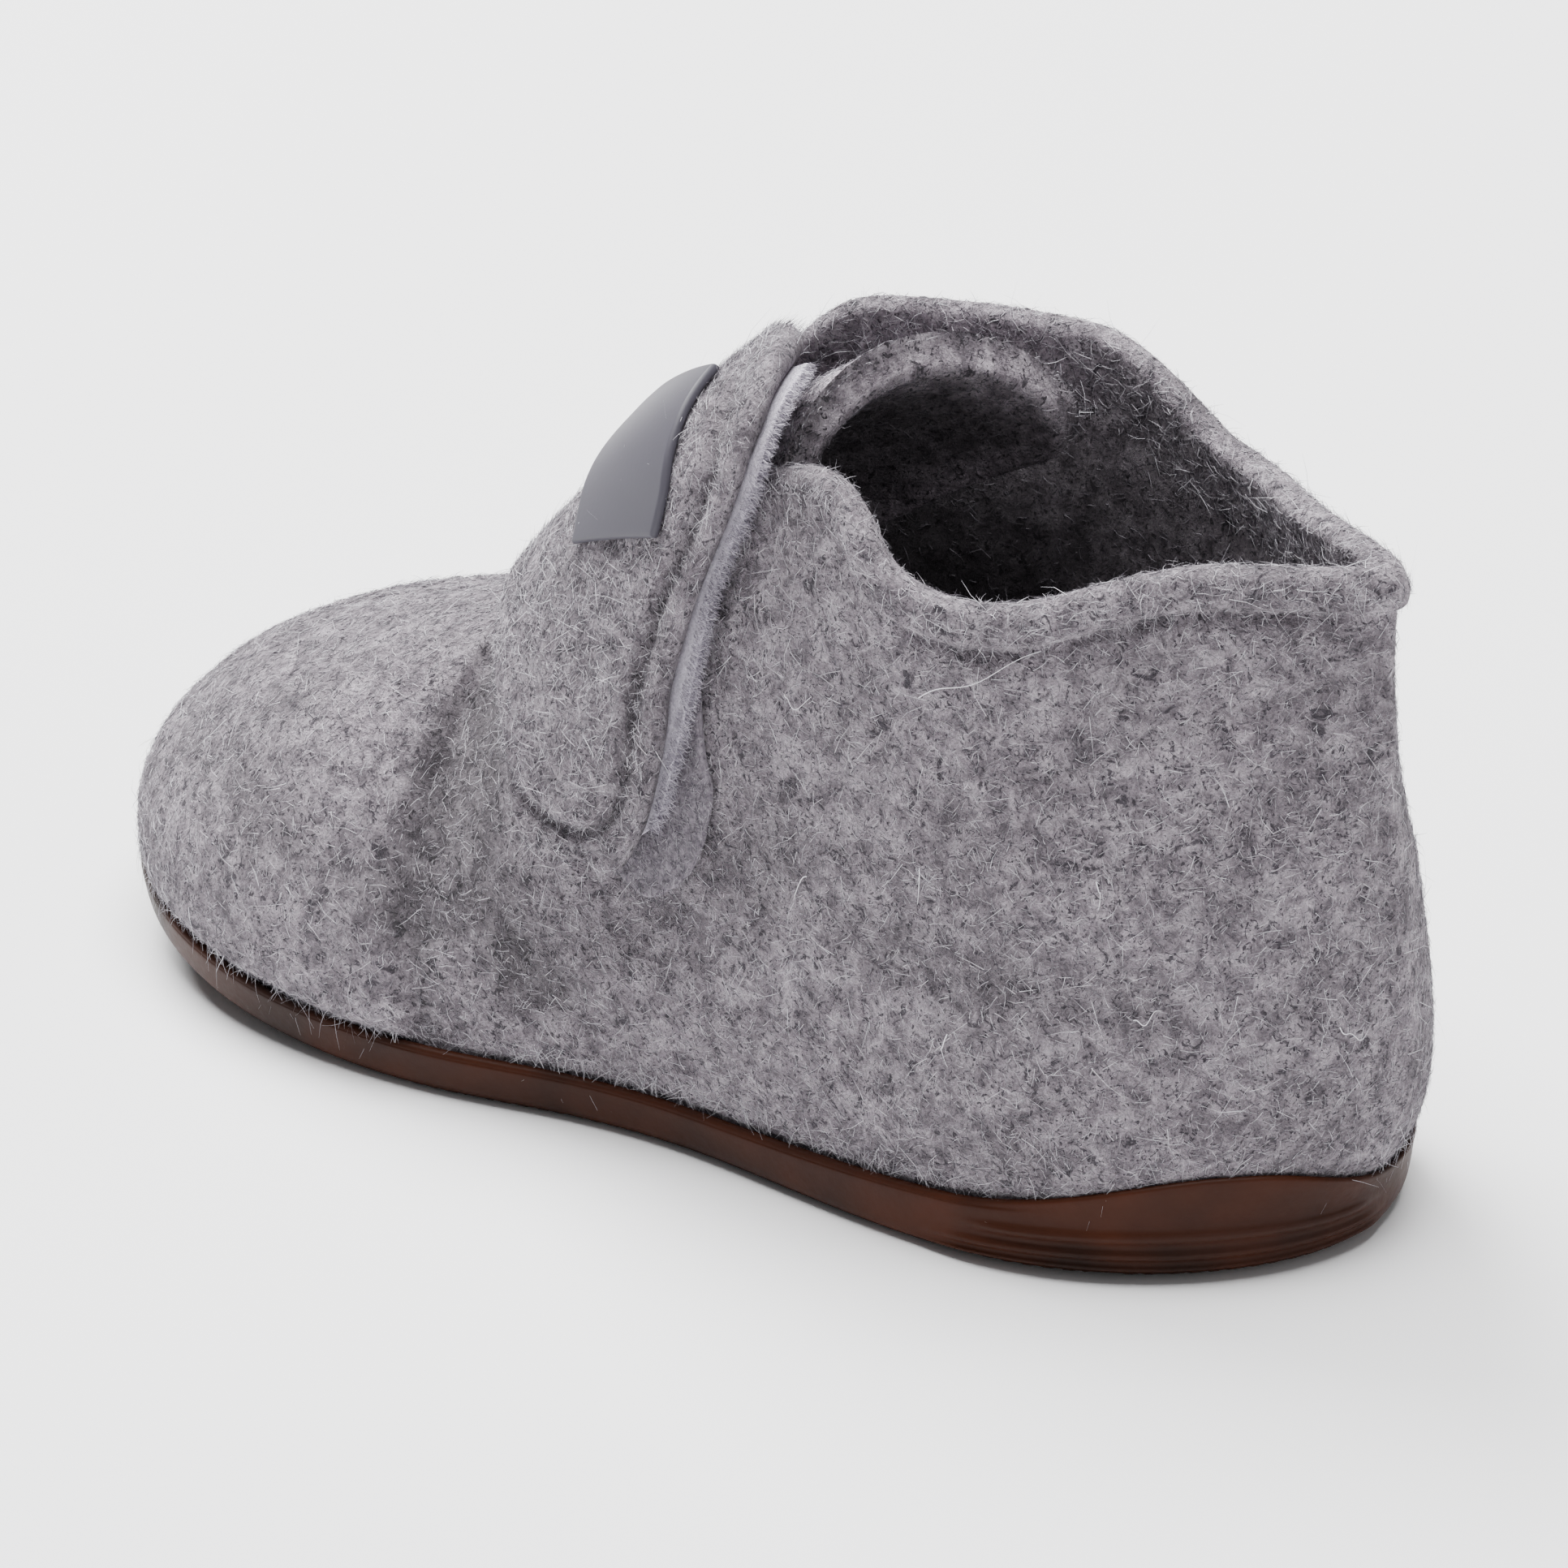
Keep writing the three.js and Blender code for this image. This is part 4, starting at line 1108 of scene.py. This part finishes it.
def add_strap(sizes, colours):
    """Strap: felt laid over the throat, its face padded inside a stitched groove."""
    i, j = np.meshgrid(plate_steps(190, 66, STRAP_EDGE), plate_steps(96, 17, STRAP_EDGE),
                       indexing="ij")
    u, c, under = strap_uc(i, j)
    middle = laid(u, c, under + FELT / 2)
    low = laid(u, c, under)
    normal = unit(middle - low)
    root, tip, back, front = edge_distance(middle)
    edges = np.minimum.reduce([root + 3.0, tip, back, front])
    all_edges = np.minimum.reduce([root, tip, back, front])
    body = rounded(all_edges, STRAP_EDGE) * FELT / 2
    inset = round_corner(round_corner(back, tip + 0.6, 9.0),
                         front + 4.4 * (1 - smooth(30, 44, c)), 7.0)
    fade = smooth(5, 16, c)
    trough = np.exp(-((inset - STITCH_INSET) / STITCH_HALF) ** 2) * fade
    pad = smooth(*PAD_RUN, inset) * PAD_RISE * fade
    shape = pad - BORDER_DIP * fade - trough * STITCH_DEPTH
    lumpy = felt_relief(middle, sizes["bumps"]) * smooth(0, 1.6, edges)
    face = body + (shape + lumpy) * smooth(0.2, STRAP_EDGE, all_edges)
    top = middle + normal * face[..., None]
    bottom = middle - normal * body[..., None]
    # painted shade: the stitched groove darker by its depth, the whole underside evenly darker
    shades = np.concatenate([0.5 * trough.ravel(), np.full(bottom[1:-1, 1:-1, 0].size, 0.3)])
    felt = wool_felt("strap_felt", *felt_shades(colours))
    add_plate("felt_strap", top, bottom, felt, "strap", turned=True, shade=shades)
    GRIDS["strap"] = (top, normal)


def laid_plate(rows, ni, nj, lift, thick, radius):
    """Top, bottom and normals of a thin plate laid over the shoe after its table, its underside
    raised by lift, which is a function of the distance across."""
    reach = rows[-1, 0] - rows[0, 0]
    i, j = np.meshgrid(plate_steps(ni, reach, radius), plate_steps(nj, PLATE_WIDTH, radius),
                       indexing="ij")
    c = mix(rows[0, 0], rows[-1, 0], i)
    table = table_curve(rows, c)
    u = mix(table[..., 0], table[..., 1], j)
    low = lift(c)
    middle = laid(u, c, low + thick / 2)
    normal = unit(middle - laid(u, c, low))
    edges = np.minimum.reduce(edge_distance(middle))
    body = (rounded(edges, radius) * thick / 2)[..., None]
    return middle + normal * body, middle - normal * body, normal


def add_closure(sizes, colours):
    """Loop patch on the quarter, one gap over the wall, and hook tape just under the strap."""
    loop = woven_tape("brushed_nylon_loop", *(linear(code) for code in LOOP_GREYS), 0.6)
    tape = woven_tape("nylon_hook_tape", *(linear(code) for code in HOOK_GREYS), 0.3)

    def over_wall(c):
        return np.full(c.shape, GAP)

    def under_strap(c):
        return strap_underside(c) - TAPE_CLEAR - BACKING
    top, bottom, normal = laid_plate(PATCH_ROWS, 72, 44, over_wall, TAPE_THICK, PATCH_EDGE)
    add_plate("loop_patch_nap", top, bottom, loop, "loop_patch", turned=True)
    GRIDS["patch"] = (top, normal)
    top, bottom, normal = laid_plate(TAPE_ROWS, 120, 24, under_strap, BACKING, TAPE_EDGE)
    add_plate("hook_tape_band", top, bottom, tape, "hook_tape", turned=True)
    GRIDS["tape"] = (top, bottom, normal)


def add_badge(sizes, colours):
    """Badge: a bare vinyl plate with rounded edges, riding on the strap's face. Its row, distance
    across and height run in straight lines between its four corners."""
    i, j = np.meshgrid(plate_steps(56, 17, BADGE_EDGE), plate_steps(32, 8, BADGE_EDGE),
                       indexing="ij")
    upper, lower = BADGE_CORNERS
    i2, j2 = i[..., None], j[..., None]
    at = mix(mix(*upper, j2), mix(*lower, j2), i2)
    u, c = at[..., 0], at[..., 1]
    under = strap_underside(c) + FELT + at[..., 2]
    middle = laid(u, c, under + BADGE_THICK / 2)
    normal = unit(middle - laid(u, c, under))
    edges = np.minimum.reduce(edge_distance(middle))
    body = normal * (rounded(edges, BADGE_EDGE) * BADGE_THICK / 2)[..., None]
    vinyl = soft_vinyl("moulded_vinyl", colours["vinyl"])
    add_plate("vinyl_badge", middle + body, middle - body, vinyl, "badge", turned=True)


# Loose fibres

FLOOR_CLEAR = 0.4
HAIR_STEPS = 17
HAIR_WIDTH = 0.1
# three (row, mm up the wall) points of each long hair
LONG_HAIRS = [
    [(2.54, 49.8), (2.2, 52.4), (1.84, 55.8)],
    [(1.44, 22.1), (1.38, 22.6), (1.32, 23.6)],
    [(2.3, 18.2), (2.32, 17.1), (2.3, 15.7)],
    [(1.58, 34.9), (1.56, 33.8), (1.58, 32.6)],
    [(0.52, 21.4), (0.46, 20.1), (0.36, 20.4)],
    [(3.74, 48.1), (3.64, 47.0), (3.5, 47.8)],
    [(3.26, 30.5), (3.3, 29.1), (3.32, 27.7)],
    [(2.48, 33.4), (2.46, 32.0), (2.48, 30.3)],
]


def grow(grid, normal, count, length, lift, width, tone, seed, drop=0.0, spans=2, sweep=None):
    """Fibres rooted on a grid at random. Each is a ribbon of a few spans that leaves along the
    surface and curls; lift is how steeply it stands, drop how far its tip sinks."""
    random = np.random.default_rng(seed)
    a = np.linalg.norm(np.cross(grid[1:, :-1] - grid[:-1, :-1], grid[:-1, 1:] - grid[:-1, :-1]), axis=2)
    cell = random.choice(a.size, count, p=a.ravel() / a.sum())
    i, j = np.unravel_index(cell, a.shape)
    s, t = random.random((2, count, 1))

    def pick(values):
        low = values[i, j] * (1 - t) + values[i, j + 1] * t
        return low * (1 - s) + (values[i + 1, j] * (1 - t) + values[i + 1, j + 1] * t) * s
    root, up = pick(grid), unit(pick(normal))
    any_way = unit(random.normal(size=(count, 3)))
    flat = unit(any_way - up * (any_way * up).sum(1, keepdims=True))
    if sweep is not None:
        flat = unit(flat * 0.5 + np.asarray(sweep))
    second = unit(np.cross(up, flat))
    stand = (lift[0] + (lift[1] - lift[0]) * random.random((count, 1)) ** 2)
    way = unit(flat + up * stand)
    size = length[0] + (length[1] - length[0]) * random.random((count, 1)) ** 2.2
    curl = second * random.normal(0, 0.45, (count, 1)) - up * stand * random.uniform(0.2, 1.0, (count, 1))
    curl[:, 2] -= drop
    stations = []
    steps = np.linspace(0, 1, spans + 1)
    twist = unit(random.normal(size=(count, 3)))
    across = unit(np.cross(way, twist))
    for k in steps:
        place = root + up * 0.02 + way * size * k + curl * size * k * k * 0.8
        half = width * (1 - 0.75 * k) / 2
        stations += [place - across * half, place + across * half]
    points = np.stack(stations, axis=1)
    points[..., 2] = np.maximum(points[..., 2], FLOOR_CLEAR)
    base = (np.arange(count) * len(stations))[:, None]
    quads = np.concatenate([np.stack([base + k, base + k + 1, base + k + 3, base + k + 2], -1)
                            for k in range(0, 2 * spans, 2)], axis=1)
    shade = tone[0] + (tone[1] - tone[0]) * random.random(count)
    return points.reshape(-1, 3), quads.reshape(-1, 4), np.repeat(shade, len(stations))


def long_hairs(rows):
    """Long curly hairs lying on the outer wall, each a narrow ribbon along a parabola through
    three (row, mm up) points, with a small wave."""
    points, quads = [], []
    steps = np.linspace(0, 1, HAIR_STEPS)
    for n, (start, through, end) in enumerate(rows):
        a, b, c = (np.array(p) for p in (start, through, end))
        t = steps[:, None]
        at = a * (1 - t) * (1 - 2 * t) + b * 4 * t * (1 - t) + c * t * (2 * t - 1)
        wave = np.sin(steps * 9 + n) * 0.35
        length = curve_length(wall_curves(at[:, 0]))
        share = ((at[:, 1] + wave) / length)[:, None]
        base = wall_points(at[:, 0], share)[:, 0]
        normal = wall_normals(at[:, 0], share)[:, 0]
        base = base + normal * (1.3 + 0.5 * np.sin(steps * np.pi))[:, None]
        side = unit(np.cross(normal, np.gradient(base, axis=0)))
        half = HAIR_WIDTH * (1 - 0.6 * steps[:, None]) / 2
        row = np.arange(HAIR_STEPS - 1) * 2 + n * 2 * HAIR_STEPS
        points.append(np.stack([base - side * half, base + side * half], axis=1).reshape(-1, 3))
        quads.append(np.stack([row, row + 1, row + 3, row + 2], -1))
    points = np.concatenate(points)
    return points, np.concatenate(quads), np.ones(len(points))


def add_fuzz(name, parts, material, slot):
    """One mesh of the fibres in parts, each with its own shade in the tone attribute."""
    points, quads, tones, start = [], [], [], 0
    for p, q, t in parts:
        points.append(p)
        quads.append(q + start)
        tones.append(t)
        start += len(p)
    return make_piece(name, np.concatenate(points), [np.concatenate(quads)], material, slot=slot,
                      tone=np.concatenate(tones))


def add_fibres(sizes, colours):
    """The nap of every felt piece, the long hairs, the tape's bristles and the fringe of fibres
    that hangs over the sole's rim."""
    wool = loose_fibres("wool_fibre", [(place, linear(code)) for place, code in WOOL_TONES])
    nylon = loose_fibres("nylon_bristle", [(place, linear(code)) for place, code in NYLON_TONES])
    many = sizes["fibre_share"]
    outer, normal = GRIDS["outer"]
    half = len(outer) // 2

    def coat(name, slot, grid, up, dense, seed, tone=(0.15, 0.95), long=0.02, reach=1.9):
        """A piece's nap: short fibres of all shades, dark ones lying flat and a few long ones."""
        add_fuzz(name, [
            grow(grid, up, int(dense * 0.70 * many), (0.5, reach), (0.1, 0.9), 0.06, tone, seed),
            grow(grid, up, int(dense * 0.28 * many), (0.5, 1.5), (0.03, 0.25), 0.085, (0.0, 0.12),
                 seed + 1),
            grow(grid, up, int(dense * long * many) + 1, (2.0, 4.5), (0.2, 1.0), 0.055, (0.8, 1.0),
                 seed + 2),
        ], wool, slot)
    coat("outer_side_nap", "upper", outer[:half + 1], normal[:half + 1], 42000, 11)
    coat("inner_side_nap", "upper", outer[half:], normal[half:], 34000, 14)
    coat("lip_nap", "upper", *GRIDS["lip"], 19000, 21)
    # painted shade: the lining's fibres take only dark tones, like the shaded inside
    coat("lining_nap", "upper", *GRIDS["inner"], 7000, 24, (0.0, 0.35), 0.0)
    # painted light: the tongue's fibres keep to paler tones, like its paler felt
    coat("tongue_nap", "tongue", *GRIDS["tongue_top"], 9000, 31, (0.3, 1.0), long=0.01)
    # painted shade: the fibres on the tongue's inside take only dark tones
    coat("tongue_lining_nap", "tongue", *GRIDS["tongue_inside"], 6000, 34, (0.0, 0.4), 0.0)
    coat("strap_nap", "strap", *GRIDS["strap"], 19000, 41)
    coat("patch_nap", "loop_patch", *GRIDS["patch"], 4500, 44, (0.1, 0.6), 0.0, 1.0)
    add_fuzz("stray_hairs", [long_hairs(LONG_HAIRS)], wool, "upper")
    top, bottom, face = GRIDS["tape"]
    add_fuzz("hook_bristles", [
        grow(bottom[2:-2, :9], -face[2:-2, :9], int(4200 * many), (0.9, 1.6), (0.3, 1.1), 0.07,
             (0.0, 1.0), 51, sweep=(-0.95, 0.25, 0.0)),
        grow(top[2:-2, 3:9], face[2:-2, 3:9], int(2600 * many), (0.6, 1.2), (0.02, 0.3), 0.07,
             (0.0, 1.0), 52, sweep=(-0.95, 0.2, -0.2)),
    ], nylon, "hook_tape")
    add_fuzz("foot_fringe", [
        grow(outer[:, 2:7], normal[:, 2:7], int(4200 * many), (0.8, 3.0), (0.3, 1.0), 0.05,
             (0.4, 1.0), 61, drop=0.6, spans=3),
    ], wool, "upper")


# Stage

CAMERA = {"azimuth": 213.8, "elevation": 25.9, "distance": 850.0, "aim": (-1.7, 0.0, 27.8),
          "scale": 12.95}
FRAME_PIXELS = 1932
SENSOR = 36.0
FLOOR_REACH = 6.0
WORLD_STRENGTH = 0.24


def add_stage(sizes, colours):
    """Paper floor, soft lights and the camera at the photograph's angle."""
    world = bpy.data.worlds.new("studio")
    world.use_nodes = True
    background = world.node_tree.nodes["Background"].inputs
    background["Color"].default_value = linear("#F4F4F6")
    background["Strength"].default_value = WORLD_STRENGTH * sizes["light_share"]
    bpy.context.scene.world = world
    mesh = bpy.data.meshes.new("floor")
    corners = [(x * FLOOR_REACH, y * FLOOR_REACH, 0) for x, y in ((-1, -1), (1, -1), (1, 1), (-1, 1))]
    mesh.from_pydata(corners, [], [(0, 1, 2, 3)])
    mesh.materials.append(studio_paper("white_paper", linear("#F8F8F9")))
    floor = bpy.data.objects.new("floor", mesh)
    bpy.context.scene.collection.objects.link(floor)
    a, e = np.radians(CAMERA["azimuth"]), np.radians(CAMERA["elevation"])
    back = Vector((np.sin(a) * np.cos(e), -np.cos(a) * np.cos(e), np.sin(e)))
    right = Vector((np.cos(a), np.sin(a), 0))
    aim = Vector(CAMERA["aim"]) * MM
    data = bpy.data.cameras.new("camera")
    data.sensor_width = SENSOR
    data.lens = CAMERA["scale"] * SENSOR * CAMERA["distance"] / FRAME_PIXELS
    data.clip_start, data.clip_end = 0.01, 50
    camera = bpy.data.objects.new("camera", data)
    bpy.context.scene.collection.objects.link(camera)
    camera.location = aim + back * CAMERA["distance"] * MM
    camera.rotation_mode = "QUATERNION"
    camera.rotation_quaternion = (-back).to_track_quat("-Z", "Y")
    bpy.context.scene.camera = camera
    up = back.cross(right)
    # name, way from the aim in metres, size in metres, power in watts
    lights = [
        ("key_light", Vector((0.8, -0.35, 1.0)), 0.8, 38.0),
        ("fill_light", back * 0.9 + right * 0.6 + up * 0.1, 0.9, 1.2),
        ("top_light", Vector((0, 0, 1.2)), 1.0, 35.0),
    ]
    for name, way, size, power in lights:
        lamp = bpy.data.lights.new(name, "AREA")
        lamp.shape = "DISK"
        lamp.size = size
        lamp.energy = power * sizes["light_share"]
        obj = bpy.data.objects.new(name, lamp)
        obj.location = aim + way
        obj.rotation_mode = "QUATERNION"
        obj.rotation_quaternion = (-way).to_track_quat("-Z", "Y")
        bpy.context.scene.collection.objects.link(obj)


# Add-on

class SHOE_PG_sizes(bpy.types.PropertyGroup):
    fibre_share: bpy.props.FloatProperty(
        name="Fibres", description="Share of the loose fibres that is grown", default=1.0,
        min=0.1, max=1.5, subtype="FACTOR")
    bumps: bpy.props.FloatProperty(
        name="Bumps", description="Share of the felt's uneven milling", default=1.0,
        min=0.0, max=2.0, subtype="FACTOR")
    light_share: bpy.props.FloatProperty(
        name="Light", description="Share of the lights' power", default=1.0,
        min=0.1, max=2.0, subtype="FACTOR")


def colour(name, description, code):
    """A colour setting whose default is an sRGB hex value."""
    return bpy.props.FloatVectorProperty(name=name, description=description, size=4,
                                         subtype="COLOR", default=linear(code))


class SHOE_PG_colours(bpy.types.PropertyGroup):
    light: colour("Light felt", "Colour of the lightest wool", "#B0A7AF")
    mid: colour("Felt", "Colour of most of the wool", "#8B828A")
    dark: colour("Dark felt", "Colour of the darker clumps", "#6A636A")
    fleck: colour("Flecks", "Colour of the dark fibres", "#332F36")
    rubber_low: colour("Dark rubber", "Darker shade of the sole", "#200D05")
    rubber_high: colour("Rubber", "Lighter shade of the sole", "#3C1A09")
    vinyl: colour("Badge", "Colour of the badge", "#45434B")


def settings():
    """The panel's sizes and colours, the two arguments that every builder takes."""
    scene = bpy.context.scene
    sizes = {name: getattr(scene.shoe_sizes, name) for name in SHOE_PG_sizes.__annotations__}
    colours = {name: tuple(getattr(scene.shoe_colours, name))
               for name in SHOE_PG_colours.__annotations__}
    return sizes, colours


class SHOE_OT_upper(bpy.types.Operator):
    """Adds the felt upper"""
    bl_idname = "shoe.upper"
    bl_label = "Upper"

    def execute(self, context):
        add_upper(*settings())
        return {"FINISHED"}


class SHOE_OT_outsole(bpy.types.Operator):
    """Adds the rubber outsole"""
    bl_idname = "shoe.outsole"
    bl_label = "Outsole"

    def execute(self, context):
        add_outsole(*settings())
        return {"FINISHED"}


class SHOE_OT_insole(bpy.types.Operator):
    """Adds the felt insole"""
    bl_idname = "shoe.insole"
    bl_label = "Insole"

    def execute(self, context):
        add_insole(*settings())
        return {"FINISHED"}


class SHOE_OT_tongue(bpy.types.Operator):
    """Adds the felt tongue"""
    bl_idname = "shoe.tongue"
    bl_label = "Tongue"

    def execute(self, context):
        add_tongue(*settings())
        return {"FINISHED"}


class SHOE_OT_strap(bpy.types.Operator):
    """Adds the padded strap"""
    bl_idname = "shoe.strap"
    bl_label = "Strap"

    def execute(self, context):
        add_strap(*settings())
        return {"FINISHED"}


class SHOE_OT_closure(bpy.types.Operator):
    """Adds the loop patch and the hook tape"""
    bl_idname = "shoe.closure"
    bl_label = "Hook and loop"

    def execute(self, context):
        add_closure(*settings())
        return {"FINISHED"}


class SHOE_OT_badge(bpy.types.Operator):
    """Adds the bare badge"""
    bl_idname = "shoe.badge"
    bl_label = "Badge"

    def execute(self, context):
        add_badge(*settings())
        return {"FINISHED"}


class SHOE_OT_fibres(bpy.types.Operator):
    """Adds the loose fibres of the felt and the tape"""
    bl_idname = "shoe.fibres"
    bl_label = "Loose fibres"

    def execute(self, context):
        add_fibres(*settings())
        return {"FINISHED"}


class SHOE_OT_stage(bpy.types.Operator):
    """Adds the floor, the lights and the camera"""
    bl_idname = "shoe.stage"
    bl_label = "Stage"

    def execute(self, context):
        add_stage(*settings())
        return {"FINISHED"}


STEPS = ["upper", "outsole", "insole", "tongue", "strap", "closure", "badge", "fibres", "stage"]


class SHOE_PT_panel(bpy.types.Panel):
    """Sizes, colours and the pieces in order"""
    bl_idname = "SHOE_PT_panel"
    bl_label = "Felt baby shoe"
    bl_space_type = "VIEW_3D"
    bl_region_type = "UI"
    bl_category = "Shoe"

    def draw(self, context):
        for group in (context.scene.shoe_sizes, context.scene.shoe_colours):
            for name in type(group).__annotations__:
                self.layout.prop(group, name)
        for step in STEPS:
            self.layout.operator("shoe." + step)


CLASSES = [
    SHOE_PG_sizes, SHOE_PG_colours, SHOE_OT_upper, SHOE_OT_outsole, SHOE_OT_insole, SHOE_OT_tongue,
    SHOE_OT_strap, SHOE_OT_closure, SHOE_OT_badge, SHOE_OT_fibres, SHOE_OT_stage, SHOE_PT_panel,
]


def register():
    """Adds the classes, and the scene's sizes and colours."""
    for cls in CLASSES:
        bpy.utils.register_class(cls)
    bpy.types.Scene.shoe_sizes = bpy.props.PointerProperty(type=SHOE_PG_sizes)
    bpy.types.Scene.shoe_colours = bpy.props.PointerProperty(type=SHOE_PG_colours)


def unregister():
    """Takes away what register added."""
    del bpy.types.Scene.shoe_colours
    del bpy.types.Scene.shoe_sizes
    for cls in reversed(CLASSES):
        bpy.utils.unregister_class(cls)


def main():
    """Builds the shoe and the stage."""
    register()
    for step in STEPS:
        getattr(bpy.ops.shoe, step)()


if __name__ == "__main__":
    main()
